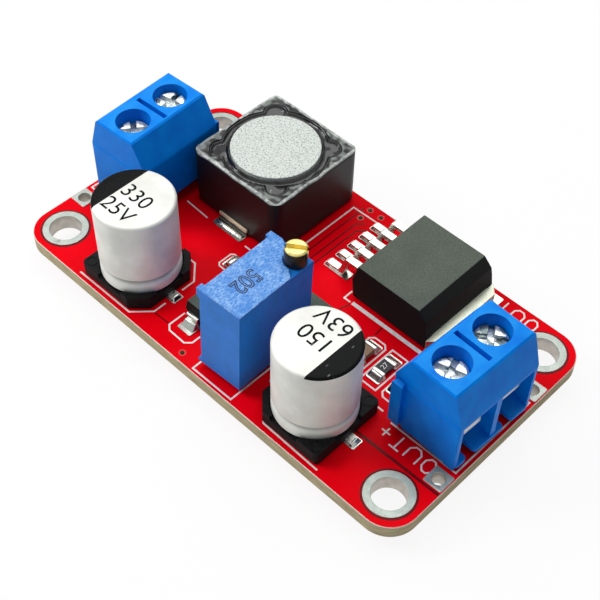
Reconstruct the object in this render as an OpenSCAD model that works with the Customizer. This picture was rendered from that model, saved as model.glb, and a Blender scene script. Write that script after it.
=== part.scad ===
// Boost converter module: a small power board with screw terminals, inductor, regulator, trimmer,
// capacitors, diodes and chip parts. Millimetres. The origin is at the board's centre, on its underside.
// +X runs from the input end to the output end, +Z is up.

/* [Board] */
// Length of the board, from the input end to the output end
board_l = 50.4; // [46:0.1:60]
// Width of the board
board_w = 28; // [26:0.1:36]
// Thickness of the board
board_t = 1.6; // [0.8:0.1:2.4]
// Radius of the board's corners
board_corner_r = 3; // [1:0.1:3.5]
// Thickness of the tinned copper on the board's faces
land_t = 0.1; // [0.05:0.01:0.2]
// Diameter of a via
via_d = 0.5; // [0.3:0.05:0.6]

/* [Mounting holes] */
// Clear diameter of a mounting hole
hole_d = 3.3; // [2.2:0.1:3.6]
// Distance from a hole's centre to the two nearest board edges
hole_inset = 3.2; // [2.8:0.1:3.4]
// Diameter of the tinned ring round a hole
ring_d = 4.7; // [4.2:0.1:5.2]
// Wall of the plated barrel in a hole
barrel_t = 0.1; // [0.05:0.01:0.2]

/* [Wire pads] */
// Side of a square wire pad
wire_pad_w = 2; // [1.7:0.1:2.2]
// Clear diameter of the hole in a wire pad
wire_hole_d = 1.3; // [0.8:0.1:1.4]
// Distance from a wire pad's outer side to the board's end
wire_pad_edge = 0.15; // [0.1:0.05:0.5]
// Gap between a wire pad and the end of its terminal
wire_pad_gap = 0.6; // [0.5:0.05:0.9]

/* [Screw terminals] */
// Spacing of the poles
pole_pitch = 5.08; // [4.9:0.01:5.3]
// Height of a terminal above the board
terminal_h = 10.2; // [9.4:0.1:12]
// Depth of the flat top, from back to front
terminal_top_d = 5; // [4.6:0.1:5.4]
// How far the back stands out past the top
terminal_back_out = 1.55; // [1.4:0.05:1.8]
// How far the front lip stands out past the top
terminal_front_out = 1.1; // [0.8:0.1:1.3]
// Height at which the back becomes upright
terminal_shoulder_h = 7.1; // [6.8:0.1:8]
// Height of the front lip
terminal_lip_h = 6.6; // [6.4:0.1:7.2]
// Height of the feet that hold a terminal off the board
terminal_standoff = 0.55; // [0.2:0.05:0.6]
// Length of such a foot
terminal_foot_l = 1; // [0.6:0.1:1.2]
// Depth of the relief at the bottom of the back
terminal_relief_d = 1.3; // [0.6:0.1:1.5]
// Height of the relief at the bottom of the back
terminal_relief_h = 1; // [0.4:0.1:1.2]
// Step of the end faces at the lip's height
terminal_step = 0.06; // [0.03:0.01:0.1]
// Radius of the moulded upright edges
terminal_edge_r = 0.2; // [0.1:0.05:0.4]
// Chamfer along the moulded top edges
terminal_edge_c = 0.15; // [0.05:0.05:0.3]
// Thickness of the end walls
terminal_end_wall = 0.5; // [0.4:0.05:0.6]
// Thickness of the wall between the poles
terminal_mid_wall = 0.66; // [0.5:0.02:0.8]
// Thickness of the lip above a wire mouth
terminal_lip_t = 0.3; // [0.2:0.05:0.5]
// Diameter of a screw well
well_d = 3.5; // [3.4:0.05:3.7]
// How far the wells lie behind the middle of the top
well_back = 0.2; // [0:0.05:0.3]
// Length of the slot between the wells
test_slot_l = 4; // [3:0.1:4.4]
// Width of the slot between the wells
test_slot_w = 0.5; // [0.3:0.05:0.7]
// Depth of the slot between the wells
test_slot_depth = 2; // [1:0.1:3]
// Width of the rib that joins blocks side by side
rib_w = 1.2; // [0.9:0.1:1.2]
// How far the rib stands out
rib_out = 0.6; // [0.3:0.05:0.7]
// Distance from the terminal's back to the rib
rib_inset = 0.25; // [0.2:0.05:0.35]
// Height of the rib's lower end
rib_low_h = 1.2; // [0.8:0.1:2]
// Room round the rib in the next block's groove
rib_clearance = 0.1; // [0.05:0.01:0.15]
// Width of the foot beside a wire mouth
foot_w = 1.2; // [0.8:0.1:1.4]
// Height of the top of the feet at the wire mouths
foot_h = 0.95; // [0.8:0.05:1.1]
// Gap between the foot and the entry ramp
foot_gap = 1; // [0.6:0.1:1.2]
// How far the feet at the wire mouths stand out past the lip
foot_out = 0.1; // [0.05:0.01:0.2]
// Radius of the corners of the feet at the wire mouths
foot_r = 0.4; // [0.2:0.05:0.5]
// Distance from the output terminal's lip to the board's end
output_edge_gap = 0.45; // [0.3:0.05:0.8]
// Distance from the input terminal's lip to the board's end
input_edge_gap = 1; // [0.8:0.05:1.2]
// Sideways place of the output terminal
output_terminal_y = -0.2; // [-0.5:0.1:0.3]
// Sideways place of the input terminal
input_terminal_y = 0.4; // [0:0.1:0.6]
// Turn of the output terminal on its pins, in degrees
output_turn = -2.6; // [-3:0.1:2]
// Turn of the input terminal on its pins, in degrees
input_turn = 2.9; // [0:0.1:3]

/* [Terminal contacts] */
// Depth of a contact frame, along the wire
frame_d = 3.6; // [3:0.1:3.8]
// Thickness of the frame's sides
frame_side_t = 0.5; // [0.4:0.05:0.6]
// Thickness of the frame's threaded top
frame_nut_t = 0.8; // [0.6:0.05:1]
// Thickness of the frame's floor
frame_floor_t = 0.6; // [0.4:0.05:0.8]
// Height of the frame's floor above the board
frame_low_h = 0.8; // [0.5:0.05:1]
// Width of a terminal's solder pin
pin_w = 1; // [0.8:0.05:1.2]
// Thickness of a terminal's solder pin
pin_t = 0.8; // [0.6:0.05:1]
// How far a solder pin stands out below the board
pin_out = 1.5; // [1:0.1:2.5]
// Thickness of a clamp plate
plate_t = 0.4; // [0.3:0.05:0.5]
// How far a clamp plate stands out of its frame, towards the wire mouth
plate_out = 0.65; // [0.6:0.05:0.8]
// Height of a clamp plate's upturned front edge
plate_lip_h = 0.4; // [0.2:0.05:0.6]
// Thickness of a clamp screw's head
head_t = 1.5; // [1.2:0.1:1.7]
// Diameter of a clamp screw's shank
shank_d = 2.4; // [2:0.1:2.5]
// Width of the cross slots in the head
cross_slot_w = 0.6; // [0.4:0.05:0.7]
// Depth of the cross slots in the head
cross_slot_depth = 0.6; // [0.4:0.05:0.8]
// Chamfer of a clamp screw's round edges
screw_edge = 0.3; // [0.1:0.05:0.4]
// Turn of the cross slots in each output screw, in degrees
output_screw_turns = [20, 38]; // [0:1:90]
// Turn of the cross slots in each input screw, in degrees
input_screw_turns = [8, 52]; // [0:1:90]
// Depth of a fully open screw's head below the terminal's top
head_open_depth = 1.4; // [0.9:0.1:1.6]
// How far each output screw is turned in
output_drops = [0.45, 0.1]; // [0:0.05:1.5]
// How far each input screw is turned in
input_drops = [0.3, 1.1]; // [0:0.05:1.5]
// Room round a screw's head in its well
head_clearance = 0.1; // [0.05:0.01:0.2]
// Room round a screw's shank in the frame
shank_clearance = 0.05; // [0.03:0.01:0.1]
// Room round a clamp plate in its frame, and at the ends of its travel
plate_clearance = 0.1; // [0.05:0.01:0.15]
// Room between a contact frame and its chamber
frame_clearance = 0.1; // [0.05:0.01:0.15]

/* [Inductor] */
// Side of the square shield
inductor_w = 12; // [10:0.1:12.4]
// Height of the inductor above the board
inductor_h = 6.9; // [5:0.1:9]
// Radius of the shield's upright corners
inductor_corner_r = 1.2; // [0.8:0.1:1.6]
// Radius of the shield's top edge
inductor_edge_r = 0.3; // [0.1:0.05:0.35]
// Thickness of the shield at the middle of its sides
shield_t = 0.35; // [0.3:0.05:0.6]
// Radius of the glue pockets in the shield's corners
pocket_r = 1.3; // [0.8:0.1:1.4]
// Depth of the glue pockets
pocket_depth = 1.2; // [0.6:0.1:2]
// Width of the glue ring between the core's top and the shield
glue_ring_w = 1.05; // [0.6:0.05:1.6]
// Diameter of the core's waist
core_waist_d = 4.4; // [3:0.1:5]
// Thickness of the core's two flanges
core_flange_t = 1.3; // [0.8:0.1:1.6]
// How far the core's top stands above the shield's rim
core_rise = 0.3; // [0.1:0.05:0.5]
// Depth of the glue below the shield's rim
glue_sink = 0.15; // [0.05:0.05:0.4]
// Room between the winding and the core's flanges
winding_clearance = 0.1; // [0.05:0.05:0.3]
// Width of an end clip
clip_w = 4; // [3:0.1:5]
// Thickness of an end clip
clip_t = 0.2; // [0.1:0.05:0.3]
// Height of a clip's upturned edge
clip_rise = 0.7; // [0.4:0.1:1.2]
// How far a clip reaches under the inductor
clip_reach = 2.4; // [1.5:0.1:3]
// Gap between the input terminal's back and the inductor
inductor_gap = 0.4; // [0.3:0.05:0.7]
// Gap between the inductor and the board's back edge
inductor_edge_gap = 0.45; // [0.3:0.05:0.8]

/* [Regulator] */
// Width of the regulator's body
regulator_w = 10; // [9:0.1:10.4]
// Depth of the regulator's body at its parting line
regulator_d = 9.4; // [8.6:0.1:9.6]
// Height of the regulator above the board
regulator_h = 4.5; // [4.2:0.1:5]
// Height of the body's parting line
regulator_part_h = 2.5; // [2.3:0.1:2.8]
// Draft of the body's sides between the parting line and the top
regulator_draft = 0.16; // [0.05:0.01:0.3]
// Draft of the body's face on the lead side
regulator_lead_draft = 0.5; // [0.2:0.05:0.7]
// Width of the bevel over the tab
regulator_bevel = 0.95; // [0.6:0.05:1.2]
// Height of the bevel over the tab
regulator_bevel_h = 1.05; // [0.7:0.05:1.2]
// Slope of the body's face above the tab
regulator_tab_draft = 0.35; // [0.1:0.05:0.5]
// Thickness of the heat tab
tab_t = 1.27; // [1:0.01:1.4]
// How far the tab stands out of the body
tab_out = 1.05; // [0.95:0.05:1.4]
// Cut-off corners of the tab
tab_corner = 0.9; // [0.4:0.1:0.9]
// How far the tab runs under the body
tab_under = 7.6; // [6:0.1:8]
// Thickness of the body beside the tab
tab_cover = 0.9; // [0.5:0.05:1.2]
// Spacing of the leads
lead_pitch = 1.7; // [1.6:0.01:1.8]
// Width of a lead
lead_w = 0.8; // [0.6:0.05:0.9]
// Thickness of a lead
lead_t = 0.5; // [0.4:0.02:0.6]
// Straight length of a lead outside the body
lead_arm = 1.85; // [1.4:0.05:2]
// Length over which a lead slopes down
lead_slope = 0.65; // [0.4:0.05:0.9]
// Length of a lead's foot
lead_foot = 1.85; // [1.4:0.05:2]
// How far a lead is held inside the body
lead_hold = 0.6; // [0.3:0.1:1]
// Share of the room round the regulator that lies on the output terminal's side
regulator_share = 0.326; // [0.25:0.001:0.4]
// Gap between the regulator's body and the board's back edge
regulator_edge_gap = 0.8; // [0.5:0.05:1.2]

/* [Capacitors] */
// Diameter of a capacitor's can
can_d = 8; // [6.3:0.1:8.2]
// Height of a capacitor above the board
can_h = 10.3; // [7:0.1:12]
// Radius of the can's top edge
can_edge_r = 0.5; // [0.2:0.05:0.8]
// Radius of the can's rolled bottom edge
can_roll_r = 0.4; // [0.2:0.05:0.6]
// Height of the groove above the can's bottom
groove_h = 1.7; // [1.4:0.1:2]
// Radius of the groove's round section
groove_r = 0.7; // [0.5:0.05:0.9]
// Depth of the groove
groove_depth = 0.3; // [0.15:0.05:0.4]
// How much wider the base is than the can
base_margin = 0.3; // [0.2:0.05:0.5]
// Thickness of the base under the can
base_t = 1; // [0.8:0.05:1.3]
// Height of the base's corner posts above the board
post_h = 2.1; // [1.6:0.1:2.4]
// Chamfer of the base's two positive corners
base_chamfer = 1.6; // [1:0.1:1.8]
// Radius of the base's other two corners
base_corner_r = 0.5; // [0.2:0.1:0.8]
// Width of the cut between neighbouring corner posts
post_cut_w = 3.3; // [2.6:0.1:4]
// Room between the can and the corner posts
can_clearance = 0.1; // [0.05:0.01:0.15]
// Width of a capacitor's lead
can_lead_w = 1; // [0.7:0.1:1.2]
// Thickness of a capacitor's lead
can_lead_t = 0.3; // [0.2:0.05:0.4]
// Distance from the can's axis to a lead's inner end
can_lead_in = 1.6; // [1:0.1:2]
// How far a lead stands out of the base
can_lead_out = 0.8; // [0.4:0.1:1]
// Gap between the input terminal's back and the input capacitor's base
input_can_gap = 0.35; // [0.2:0.05:1]
// Gap between the output terminal's back and the output capacitor's base
output_can_gap = 1.45; // [0.9:0.05:2]
// Gap between a capacitor's base and the board's front edge
can_edge_gap = 0.75; // [0.5:0.05:1]

/* [Trimmer] */
// Depth of the trimmer, along the board
trimmer_d = 4.83; // [4.4:0.01:5]
// Width of the trimmer, across the board
trimmer_w = 9.53; // [9:0.01:9.7]
// Height of the trimmer's top above the board
trimmer_h = 10.4; // [8:0.1:12]
// Height of the feet that hold the trimmer off the board
trimmer_foot_h = 0.4; // [0.2:0.05:0.6]
// Side of a foot
trimmer_foot_w = 1; // [0.8:0.1:1.2]
// Distance from a foot to the nearest faces of the trimmer
trimmer_foot_inset = 0.4; // [0.2:0.05:0.6]
// Width of the nubs at the corners of the trimmer's back
trimmer_nub_w = 0.7; // [0.4:0.05:1]
// How far the nubs stand out
trimmer_nub_out = 0.35; // [0.2:0.05:0.5]
// Height of an upper nub
trimmer_nub_h = 0.9; // [0.6:0.05:1.2]
// Height of a lower nub
trimmer_low_nub_h = 0.4; // [0.3:0.05:0.6]
// Depth of the step round the adjusting screw
trimmer_step = 0.2; // [0.1:0.05:0.4]
// Length of the step along the trimmer's width
trimmer_step_w = 3.1; // [2.8:0.1:3.4]
// Length of the step along the trimmer's depth
trimmer_step_d = 3.7; // [3.2:0.1:4]
// Distance from the adjusting screw's axis to the two nearest faces
trimmer_screw_inset = 1.15; // [1.1:0.05:1.5]
// Diameter of the adjusting screw's head
trimmer_head_d = 2.2; // [1.8:0.1:2.3]
// Chamfer of the head's top edge
trimmer_head_edge = 0.2; // [0.1:0.05:0.3]
// How far the head stands above the top
trimmer_head_out = 1.7; // [1:0.1:2]
// Diameter of the adjusting screw's shank
trimmer_shank_d = 1.6; // [1.2:0.1:1.7]
// Length of the adjusting screw's shank in the housing
trimmer_shank_l = 5; // [3:0.1:6]
// Width of the adjusting slot
trimmer_slot_w = 0.5; // [0.3:0.05:0.6]
// Depth of the adjusting slot
trimmer_slot_depth = 0.6; // [0.4:0.05:0.8]
// Turn of the adjusting slot, in degrees
trimmer_slot_turn = 33; // [-90:1:90]
// Room round the adjusting screw's shank and under its head
trimmer_clearance = 0.05; // [0.03:0.01:0.1]
// Room round the adjusting screw's head
trimmer_head_clearance = 0.12; // [0.1:0.01:0.2]
// Spacing of the trimmer's pins
trimmer_pitch = 2.54; // [2.4:0.01:2.6]
// Diameter of a trimmer pin
trimmer_pin_d = 0.6; // [0.4:0.05:0.7]
// How far a trimmer pin stands out below the board
trimmer_pin_out = 1.5; // [1:0.1:2.5]
// How far a trimmer pin is held inside the housing
trimmer_pin_hold = 1.5; // [1:0.1:2]
// Share of the free room between the capacitors that lies on the trimmer's output side
trimmer_share = 0.2275; // [0.2:0.0005:0.4]
// Gap between the trimmer and the board's front edge
trimmer_edge_gap = 1.2; // [0.8:0.05:1.4]
// Turn of the trimmer on its pins, in degrees
trimmer_turn = 2.5; // [-3:0.1:3]
// Lean of the trimmer on its pins, towards the back of the board, in degrees
trimmer_lean = 2; // [0:0.1:2]

/* [Diodes] */
// Length of a diode's body
diode_l = 4.3; // [3.8:0.1:4.5]
// Width of a diode's body
diode_w = 2.6; // [2.2:0.1:2.7]
// Height of a diode above the board
diode_h = 2.25; // [1.9:0.05:2.5]
// Height of the underside of a diode's body
diode_low_h = 0.25; // [0.15:0.05:0.35]
// Height of a diode's parting line
diode_part_h = 1.15; // [1:0.05:1.3]
// Draft of a diode's sides
diode_draft = 0.15; // [0.05:0.05:0.25]
// Width of a diode's lead
diode_lead_w = 1.45; // [1.2:0.05:1.6]
// Thickness of a diode's lead
diode_lead_t = 0.25; // [0.15:0.05:0.3]
// How far a diode's lead stands out of the body
diode_lead_out = 0.45; // [0.3:0.05:0.6]
// Length of the lead's foot under the body
diode_foot = 1.2; // [0.9:0.1:1.4]
// Share of the free room between the capacitors that lies on the protection diode's input side
protection_diode_share = 0.366; // [0.3:0.001:0.45]
// Distance from the protection diode's middle to the board's front edge
protection_diode_inset = 6.35; // [5.5:0.05:7]
// Gap between the rectifier diode and a trimmer that stands straight
rectifier_side_gap = 0.32; // [0.2:0.02:0.6]
// Gap between the rectifier diode's lead and the chip capacitor beyond it
rectifier_end_gap = 2.325; // [1.5:0.025:3]

/* [Chip parts] */
// Length of a chip part
chip_l = 2; // [1.6:0.1:2.2]
// Width of a chip part
chip_w = 1.25; // [0.8:0.05:1.3]
// Thickness of the chip resistor
resistor_t = 0.5; // [0.35:0.05:0.6]
// Thickness of a chip capacitor
chip_capacitor_t = 0.8; // [0.6:0.05:1.2]
// Length of a chip part's end cap
chip_end_l = 0.4; // [0.25:0.05:0.5]
// Thickness of a chip part's end cap over its body
chip_end_t = 0.04; // [0.02:0.01:0.08]
// Spacing of the row of three chip parts beside the output terminal
chip_pitch = 2.45; // [2.2:0.05:2.8]
// Gap between the output terminal's back and the nearest chip part
chip_row_gap = 1.175; // [0.8:0.025:1.6]
// Sideways place of that row
chip_row_y = -1.2; // [-1.5:0.05:-1]
// Place of the chip capacitor that lies along the board
input_chip_at = [-5.5, -2.15]; // [-5.6:0.05:-2.1]

/* [Lands and solder] */
// Radius of a land's corners
land_r = 0.15; // [0.05:0.05:0.2]
// How far an inductor land shows past the inductor
inductor_land_out = 1.2; // [0.8:0.1:1.3]
// How far a land shows past the tip of a regulator lead
lead_land_out = 0.35; // [0.2:0.05:0.5]
// How far a land runs on under the slope of a regulator lead
lead_land_in = 0.9; // [0.6:0.05:1.1]
// How far the tab's land shows past the tab
tab_land_out = 0.5; // [0.2:0.1:0.8]
// How far a land shows past a capacitor's lead
can_land_out = 0.35; // [0.2:0.05:0.6]
// How far a land shows past a diode's lead
diode_land_out = 1.1; // [0.6:0.1:1.2]
// How far a land shows past a chip part's end
chip_land_out = 0.75; // [0.4:0.05:0.9]
// How much wider a land is than what stands on it
land_margin = 0.3; // [0.1:0.05:0.4]
// Diameter of a terminal pin's hole in the board
pin_hole_d = 1.5; // [1.4:0.05:1.7]
// Diameter of a trimmer pin's hole in the board
trimmer_hole_d = 0.9; // [0.8:0.05:1]
// Width of the ring land round a pin
pin_land_w = 0.55; // [0.4:0.05:0.7]
// Thickness of the solder at the tip of a solder cone
solder_tip_t = 0.05; // [0.02:0.01:0.1]
// Height of a solder cone under the board
solder_h = 0.9; // [0.5:0.05:1]

/* [Hidden] */
$fn = 48;

// A cut runs this far past the faces that it opens
past = 1;

// Board levels and hole places
seat = board_t + land_t;
hole_x = board_l / 2 - hole_inset;
hole_y = board_w / 2 - hole_inset;
wire_pad_x = board_l / 2 - wire_pad_edge - wire_pad_w / 2;
wire_pad_y = pole_pitch + wire_pad_gap + wire_pad_w / 2;
// Vias beside the inductor and the trimmer, at two distances from the board's long edges
via_edge = 0.9;
via_step = 1.5;
via_x = -1.85;
via_places = [
    [via_x, board_w / 2 - via_edge],
    [via_x + via_step, board_w / 2 - via_edge],
    [via_x, board_w / 2 - via_edge - via_step],
    [via_x, via_edge - board_w / 2]
];

// Screw terminal, in a frame at the middle of its top face's outline, with the wire mouths towards +X
terminal_l = 2 * pole_pitch;
terminal_back = terminal_top_d / 2 + terminal_back_out;
terminal_lip = terminal_top_d / 2 + terminal_front_out;
pole_x = -well_back;
output_terminal_x = board_l / 2 - output_edge_gap - terminal_lip;
input_terminal_x = input_edge_gap + terminal_lip - board_l / 2;
mouth_w = (terminal_l - 2 * terminal_end_wall - terminal_mid_wall) / 2;
mouth_y = (terminal_mid_wall + mouth_w) / 2;
mouth_h = terminal_lip_h - terminal_lip_t;
// The wall between a well and the wire mouth is as thick as the lip
chamber_front = pole_x + well_d / 2 + terminal_lip_t;
foot_front = terminal_lip + foot_out;
ramp_w = mouth_w - foot_w - foot_gap;
rib_high_h = terminal_shoulder_h - terminal_lip_t;
rib_x = rib_inset + rib_w / 2 - terminal_back;

// Contact frame: as wide as fits about the screw, and high enough for the head to reach its top
// as the clamp plate reaches its floor
frame_w = pole_pitch - 2 * max(terminal_end_wall, terminal_mid_wall / 2) - 2 * frame_clearance;
frame_floor_h = frame_low_h + frame_floor_t;
frame_h = (terminal_h - head_open_depth - head_t + plate_t + frame_nut_t + frame_floor_h
           + plate_clearance) / 2;
frame_front = chamber_front - frame_clearance;
frame_back = frame_front - frame_d;
tunnel_w = frame_w - 2 * frame_side_t;
nut_low_h = frame_h - frame_nut_t;
plate_w = tunnel_w - 2 * plate_clearance;
plate_back = frame_back + plate_clearance;
plate_front = frame_front + plate_out;
plate_open_h = nut_low_h - plate_clearance / 2 - plate_t;
head_open_h = terminal_h - head_open_depth - head_t;
// Gap between a screw's end and its clamp plate
shank_gap = 0.02;
shank_l = head_open_h - plate_open_h - plate_t - shank_gap;
head_d = well_d - 2 * head_clearance;
pin_x = (frame_front + frame_back) / 2;

// Inductor
inductor_x = input_terminal_x + terminal_back + inductor_gap + inductor_w / 2;
inductor_y = board_w / 2 - inductor_edge_gap - inductor_w / 2;
inductor_low = seat + clip_t;
inductor_top = board_t + inductor_h;
bore_d = inductor_w - 2 * shield_t;
core_d = bore_d - 2 * glue_ring_w;
core_top = inductor_top + core_rise;
glue_top = inductor_top - glue_sink;
pocket_low = inductor_top - pocket_depth;
pocket_at = inductor_w / 2 - inductor_corner_r - pocket_r / 2 - shield_t;
winding_d = core_d - 2 * winding_clearance;
// The land towards the board's edge stops half way to it
inductor_back_land = inductor_edge_gap / 2;

// Regulator: the body's foot over the tab is at regulator_x. It stands between the inductor and the output
// terminal, and the room that it leaves there is shared out
lead_tip = regulator_d + lead_arm + lead_slope + lead_foot;
regulator_room = output_terminal_x - terminal_back - inductor_x - inductor_w / 2 - lead_tip - tab_out;
regulator_x = output_terminal_x - terminal_back - regulator_share * regulator_room - tab_out;
regulator_y = board_w / 2 - regulator_edge_gap - regulator_w / 2;
tab_top_h = land_t + tab_t;
tab_inner_w = regulator_w - 2 * tab_cover;
body_low_h = land_t + lead_t / 4;
lead_mid_h = regulator_part_h;
lead_rows = [-2 : 2];

// Capacitors
base_w = can_d + base_margin;
can_y = can_edge_gap + base_w / 2 - board_w / 2;
can_low_h = land_t + base_t;
can_lead_end = base_w / 2 + can_lead_out;
input_can_x = input_terminal_x + terminal_back + input_can_gap + base_w / 2;
output_can_x = output_terminal_x - terminal_back - output_can_gap - base_w / 2;

// Trimmer and protection diode, in the room between the capacitors' leads
front_room = output_can_x - input_can_x - 2 * can_lead_end - diode_w - trimmer_d - trimmer_nub_out;
trimmer_x = output_can_x - can_lead_end - trimmer_share * front_room - trimmer_d / 2;
protection_diode_at = [
    input_can_x + can_lead_end + protection_diode_share * front_room + diode_w / 2,
    protection_diode_inset - board_w / 2
];
trimmer_y = trimmer_edge_gap + trimmer_w / 2 - board_w / 2;
trimmer_half = [trimmer_d / 2, trimmer_w / 2];
trimmer_screw_at = trimmer_half - [1, 1] * trimmer_screw_inset;
trimmer_step_h = trimmer_h - trimmer_step;

// Chip parts in a row beside the output terminal, with the rectifier diode at the row's end
diode_tip = diode_l / 2 + diode_lead_out;
feedback_chip_at = [output_terminal_x - terminal_back - chip_row_gap - chip_w / 2, chip_row_y];
resistor_at = feedback_chip_at - [chip_pitch, 0];
output_chip_at = resistor_at - [chip_pitch, 0];
rectifier_diode_at = [
    output_chip_at[0] - chip_w / 2 - rectifier_end_gap - diode_tip,
    trimmer_y + trimmer_w / 2 + rectifier_side_gap + diode_w / 2
];

// Lands
chip_land_l = chip_end_l + chip_land_out;
chip_land_at = chip_l / 2 - chip_end_l + chip_land_l / 2;

// Corner points of a closed outline, each cut back along both of its sides
function along(from, to, size) = from + (to - from) * size / norm(to - from);
function chamfered(points, size) = let(n = len(points))
    [for (i = [0 : n - 1], j = [n - 1, 1]) along(points[i], points[(i + j) % n], size)];

module rounded_plate(l, w, t, r) {
    linear_extrude(t) rounded_outline(l, w, r);
}

module rounded_outline(l, w, r) {
    square([l - 2 * r, w], center = true);
    square([l, w - 2 * r], center = true);
    for (x = [-1, 1], y = [-1, 1])
        translate([x * (l / 2 - r), y * (w / 2 - r)]) circle(r);
}

// A box from its lowest corner to its highest
module block(low, high) {
    translate(low) cube(high - low);
}

// An outline in X and Z, extruded across Y about y = 0
module across(w) {
    rotate([90, 0, 0]) linear_extrude(w, center = true) children();
}

// An outline in Y and Z, extruded along X about x = 0
module along_x(l) {
    rotate([90, 0, 90]) linear_extrude(l, center = true) children();
}

module at_holes() {
    for (x = [-1, 1], y = [-1, 1]) translate([x * hole_x, y * hole_y, 0]) children();
}

module at_wire_pads() {
    for (x = [-1, 1], y = [-1, 1]) translate([x * wire_pad_x, y * wire_pad_y, 0]) children();
}

module at_output() {
    translate([output_terminal_x, output_terminal_y, board_t]) rotate(output_turn) children();
}

module at_input() {
    translate([input_terminal_x, input_terminal_y, board_t]) rotate(180 + input_turn) children();
}

// The two poles of a terminal, number 0 at -Y
function pole_y(pole) = (pole - 0.5) * pole_pitch;

module at_pole(pole) {
    translate([pole_x, pole_y(pole), 0]) children();
}

module at_terminal_pins() {
    for (pole = [0, 1]) {
        at_output() translate([pin_x, pole_y(pole), -board_t]) children();
        at_input() translate([pin_x, pole_y(pole), -board_t]) children();
    }
}

module at_trimmer_pins() {
    translate([trimmer_x, trimmer_y, 0]) rotate(trimmer_turn)
        for (pin = [-1 : 1]) translate([0, pin * trimmer_pitch, 0]) children();
}

module drill(d) {
    translate([0, 0, -past]) cylinder(board_t + 2 * past, d = d);
}

module pcb() {
    color("#c4001a") difference() {
        rounded_plate(board_l, board_w, board_t, board_corner_r);
        at_holes() drill(hole_d + 2 * barrel_t);
        at_wire_pads() drill(wire_hole_d + 2 * barrel_t);
        at_terminal_pins() drill(pin_hole_d);
        at_trimmer_pins() drill(trimmer_hole_d);
        for (place = via_places) translate(place) drill(via_d);
    }
}

// A plated hole: a barrel through the board, with a land of its own on each face
module plated_barrel(d) {
    difference() {
        union() {
            cylinder(board_t, d = d + 2 * barrel_t);
            for (z = [-land_t, board_t]) translate([0, 0, z]) linear_extrude(land_t) children();
        }
        drill(d);
    }
}

module mounting_rings() {
    color("gainsboro") at_holes() plated_barrel(hole_d) circle(d = ring_d);
}

module wire_pads() {
    color("gainsboro") at_wire_pads() plated_barrel(wire_hole_d)
        rounded_outline(wire_pad_w, wire_pad_w, land_r);
}

module land(x, y, l, w) {
    translate([x, y, board_t]) rounded_plate(l, w, land_t, land_r);
}

// A pair of like lands either side of a middle point, along X or turned to lie along Y
module land_pair(place, turn, offset, l, w) {
    translate(place) rotate(turn) for (side = [-1, 1]) land(side * offset, 0, l, w);
}

// A land under one of the inductor's clips, showing this far past the inductor
module inductor_land(side, out) {
    l = clip_reach + out;
    land(inductor_x, inductor_y + side * (inductor_w / 2 + out - l / 2), clip_w, l);
}

// Lands under the pins, round their holes
module pin_land(d) {
    difference() {
        translate([0, 0, -land_t]) cylinder(land_t, d = d + 2 * pin_land_w);
        drill(d);
    }
}

module solder_lands() {
    can_land_l = can_lead_end - can_lead_in + can_land_out;
    diode_land_l = diode_foot + diode_land_out;
    lead_land_l = lead_foot + lead_land_in + lead_land_out;
    tab_land_l = tab_out + tab_land_out;
    color("gainsboro") {
        inductor_land(-1, inductor_land_out);
        inductor_land(1, inductor_back_land);
        for (x = [input_can_x, output_can_x])
            land_pair([x, can_y], 0, can_lead_in + can_land_l / 2, can_land_l, can_lead_w + land_margin);
        land_pair(protection_diode_at, 90, diode_tip + diode_land_out - diode_land_l / 2,
                  diode_land_l, diode_lead_w + land_margin);
        land_pair(rectifier_diode_at, 0, diode_tip + diode_land_out - diode_land_l / 2,
                  diode_land_l, diode_lead_w + land_margin);
        for (place = [resistor_at, output_chip_at, feedback_chip_at])
            land_pair(place, 90, chip_land_at, chip_land_l, chip_w + land_margin);
        land_pair(input_chip_at, 0, chip_land_at, chip_land_l, chip_w + land_margin);
        for (row = lead_rows)
            land(regulator_x - lead_tip - lead_land_out + lead_land_l / 2, regulator_y + row * lead_pitch,
                 lead_land_l, lead_w + land_margin);
        land(regulator_x + (tab_out - tab_under) / 2, regulator_y, tab_under + tab_out, tab_inner_w);
        land(regulator_x + tab_land_l / 2, regulator_y, tab_land_l, regulator_w + land_margin);
        at_terminal_pins() pin_land(pin_hole_d);
        at_trimmer_pins() pin_land(trimmer_hole_d);
    }
}

// Solder fills a pin's hole and rises in a cone along the pin's end
module solder_cone(d, tip_d) {
    cylinder(board_t, d = d);
    translate([0, 0, -land_t]) cylinder(land_t, d = d);
    translate([0, 0, -land_t - solder_h]) cylinder(solder_h, d1 = tip_d, d2 = d + 2 * pin_land_w);
}

module solder_joints() {
    terminal_tip = norm([pin_w, pin_t]) + 2 * solder_tip_t;
    trimmer_tip = trimmer_pin_d + 2 * solder_tip_t;
    color("silver") {
        difference() {
            at_terminal_pins() solder_cone(pin_hole_d, terminal_tip);
            at_terminal_pins() terminal_pin();
        }
        difference() {
            at_trimmer_pins() solder_cone(trimmer_hole_d, trimmer_tip);
            at_trimmer_pins() drill_pin();
        }
    }
}

// Screw terminal

module terminal_profile() {
    polygon(chamfered([
        [terminal_relief_d - terminal_back, terminal_standoff],
        [-terminal_back, terminal_standoff + terminal_relief_h],
        [-terminal_back, terminal_shoulder_h],
        [-terminal_top_d / 2, terminal_h],
        [terminal_top_d / 2, terminal_h],
        [terminal_lip, terminal_lip_h],
        [terminal_lip, terminal_standoff]
    ], terminal_edge_c));
}

// Half of the block's end elevation: a small step at the lip's height and a chamfer at the top
module terminal_half_elevation() {
    upper = terminal_l / 2 - terminal_step;
    polygon([
        [0, 0],
        [terminal_l / 2, 0],
        [terminal_l / 2, terminal_lip_h - terminal_step],
        [upper, terminal_lip_h],
        [upper, terminal_h - terminal_edge_c],
        [upper - terminal_edge_c, terminal_h],
        [0, terminal_h]
    ]);
}

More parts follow.
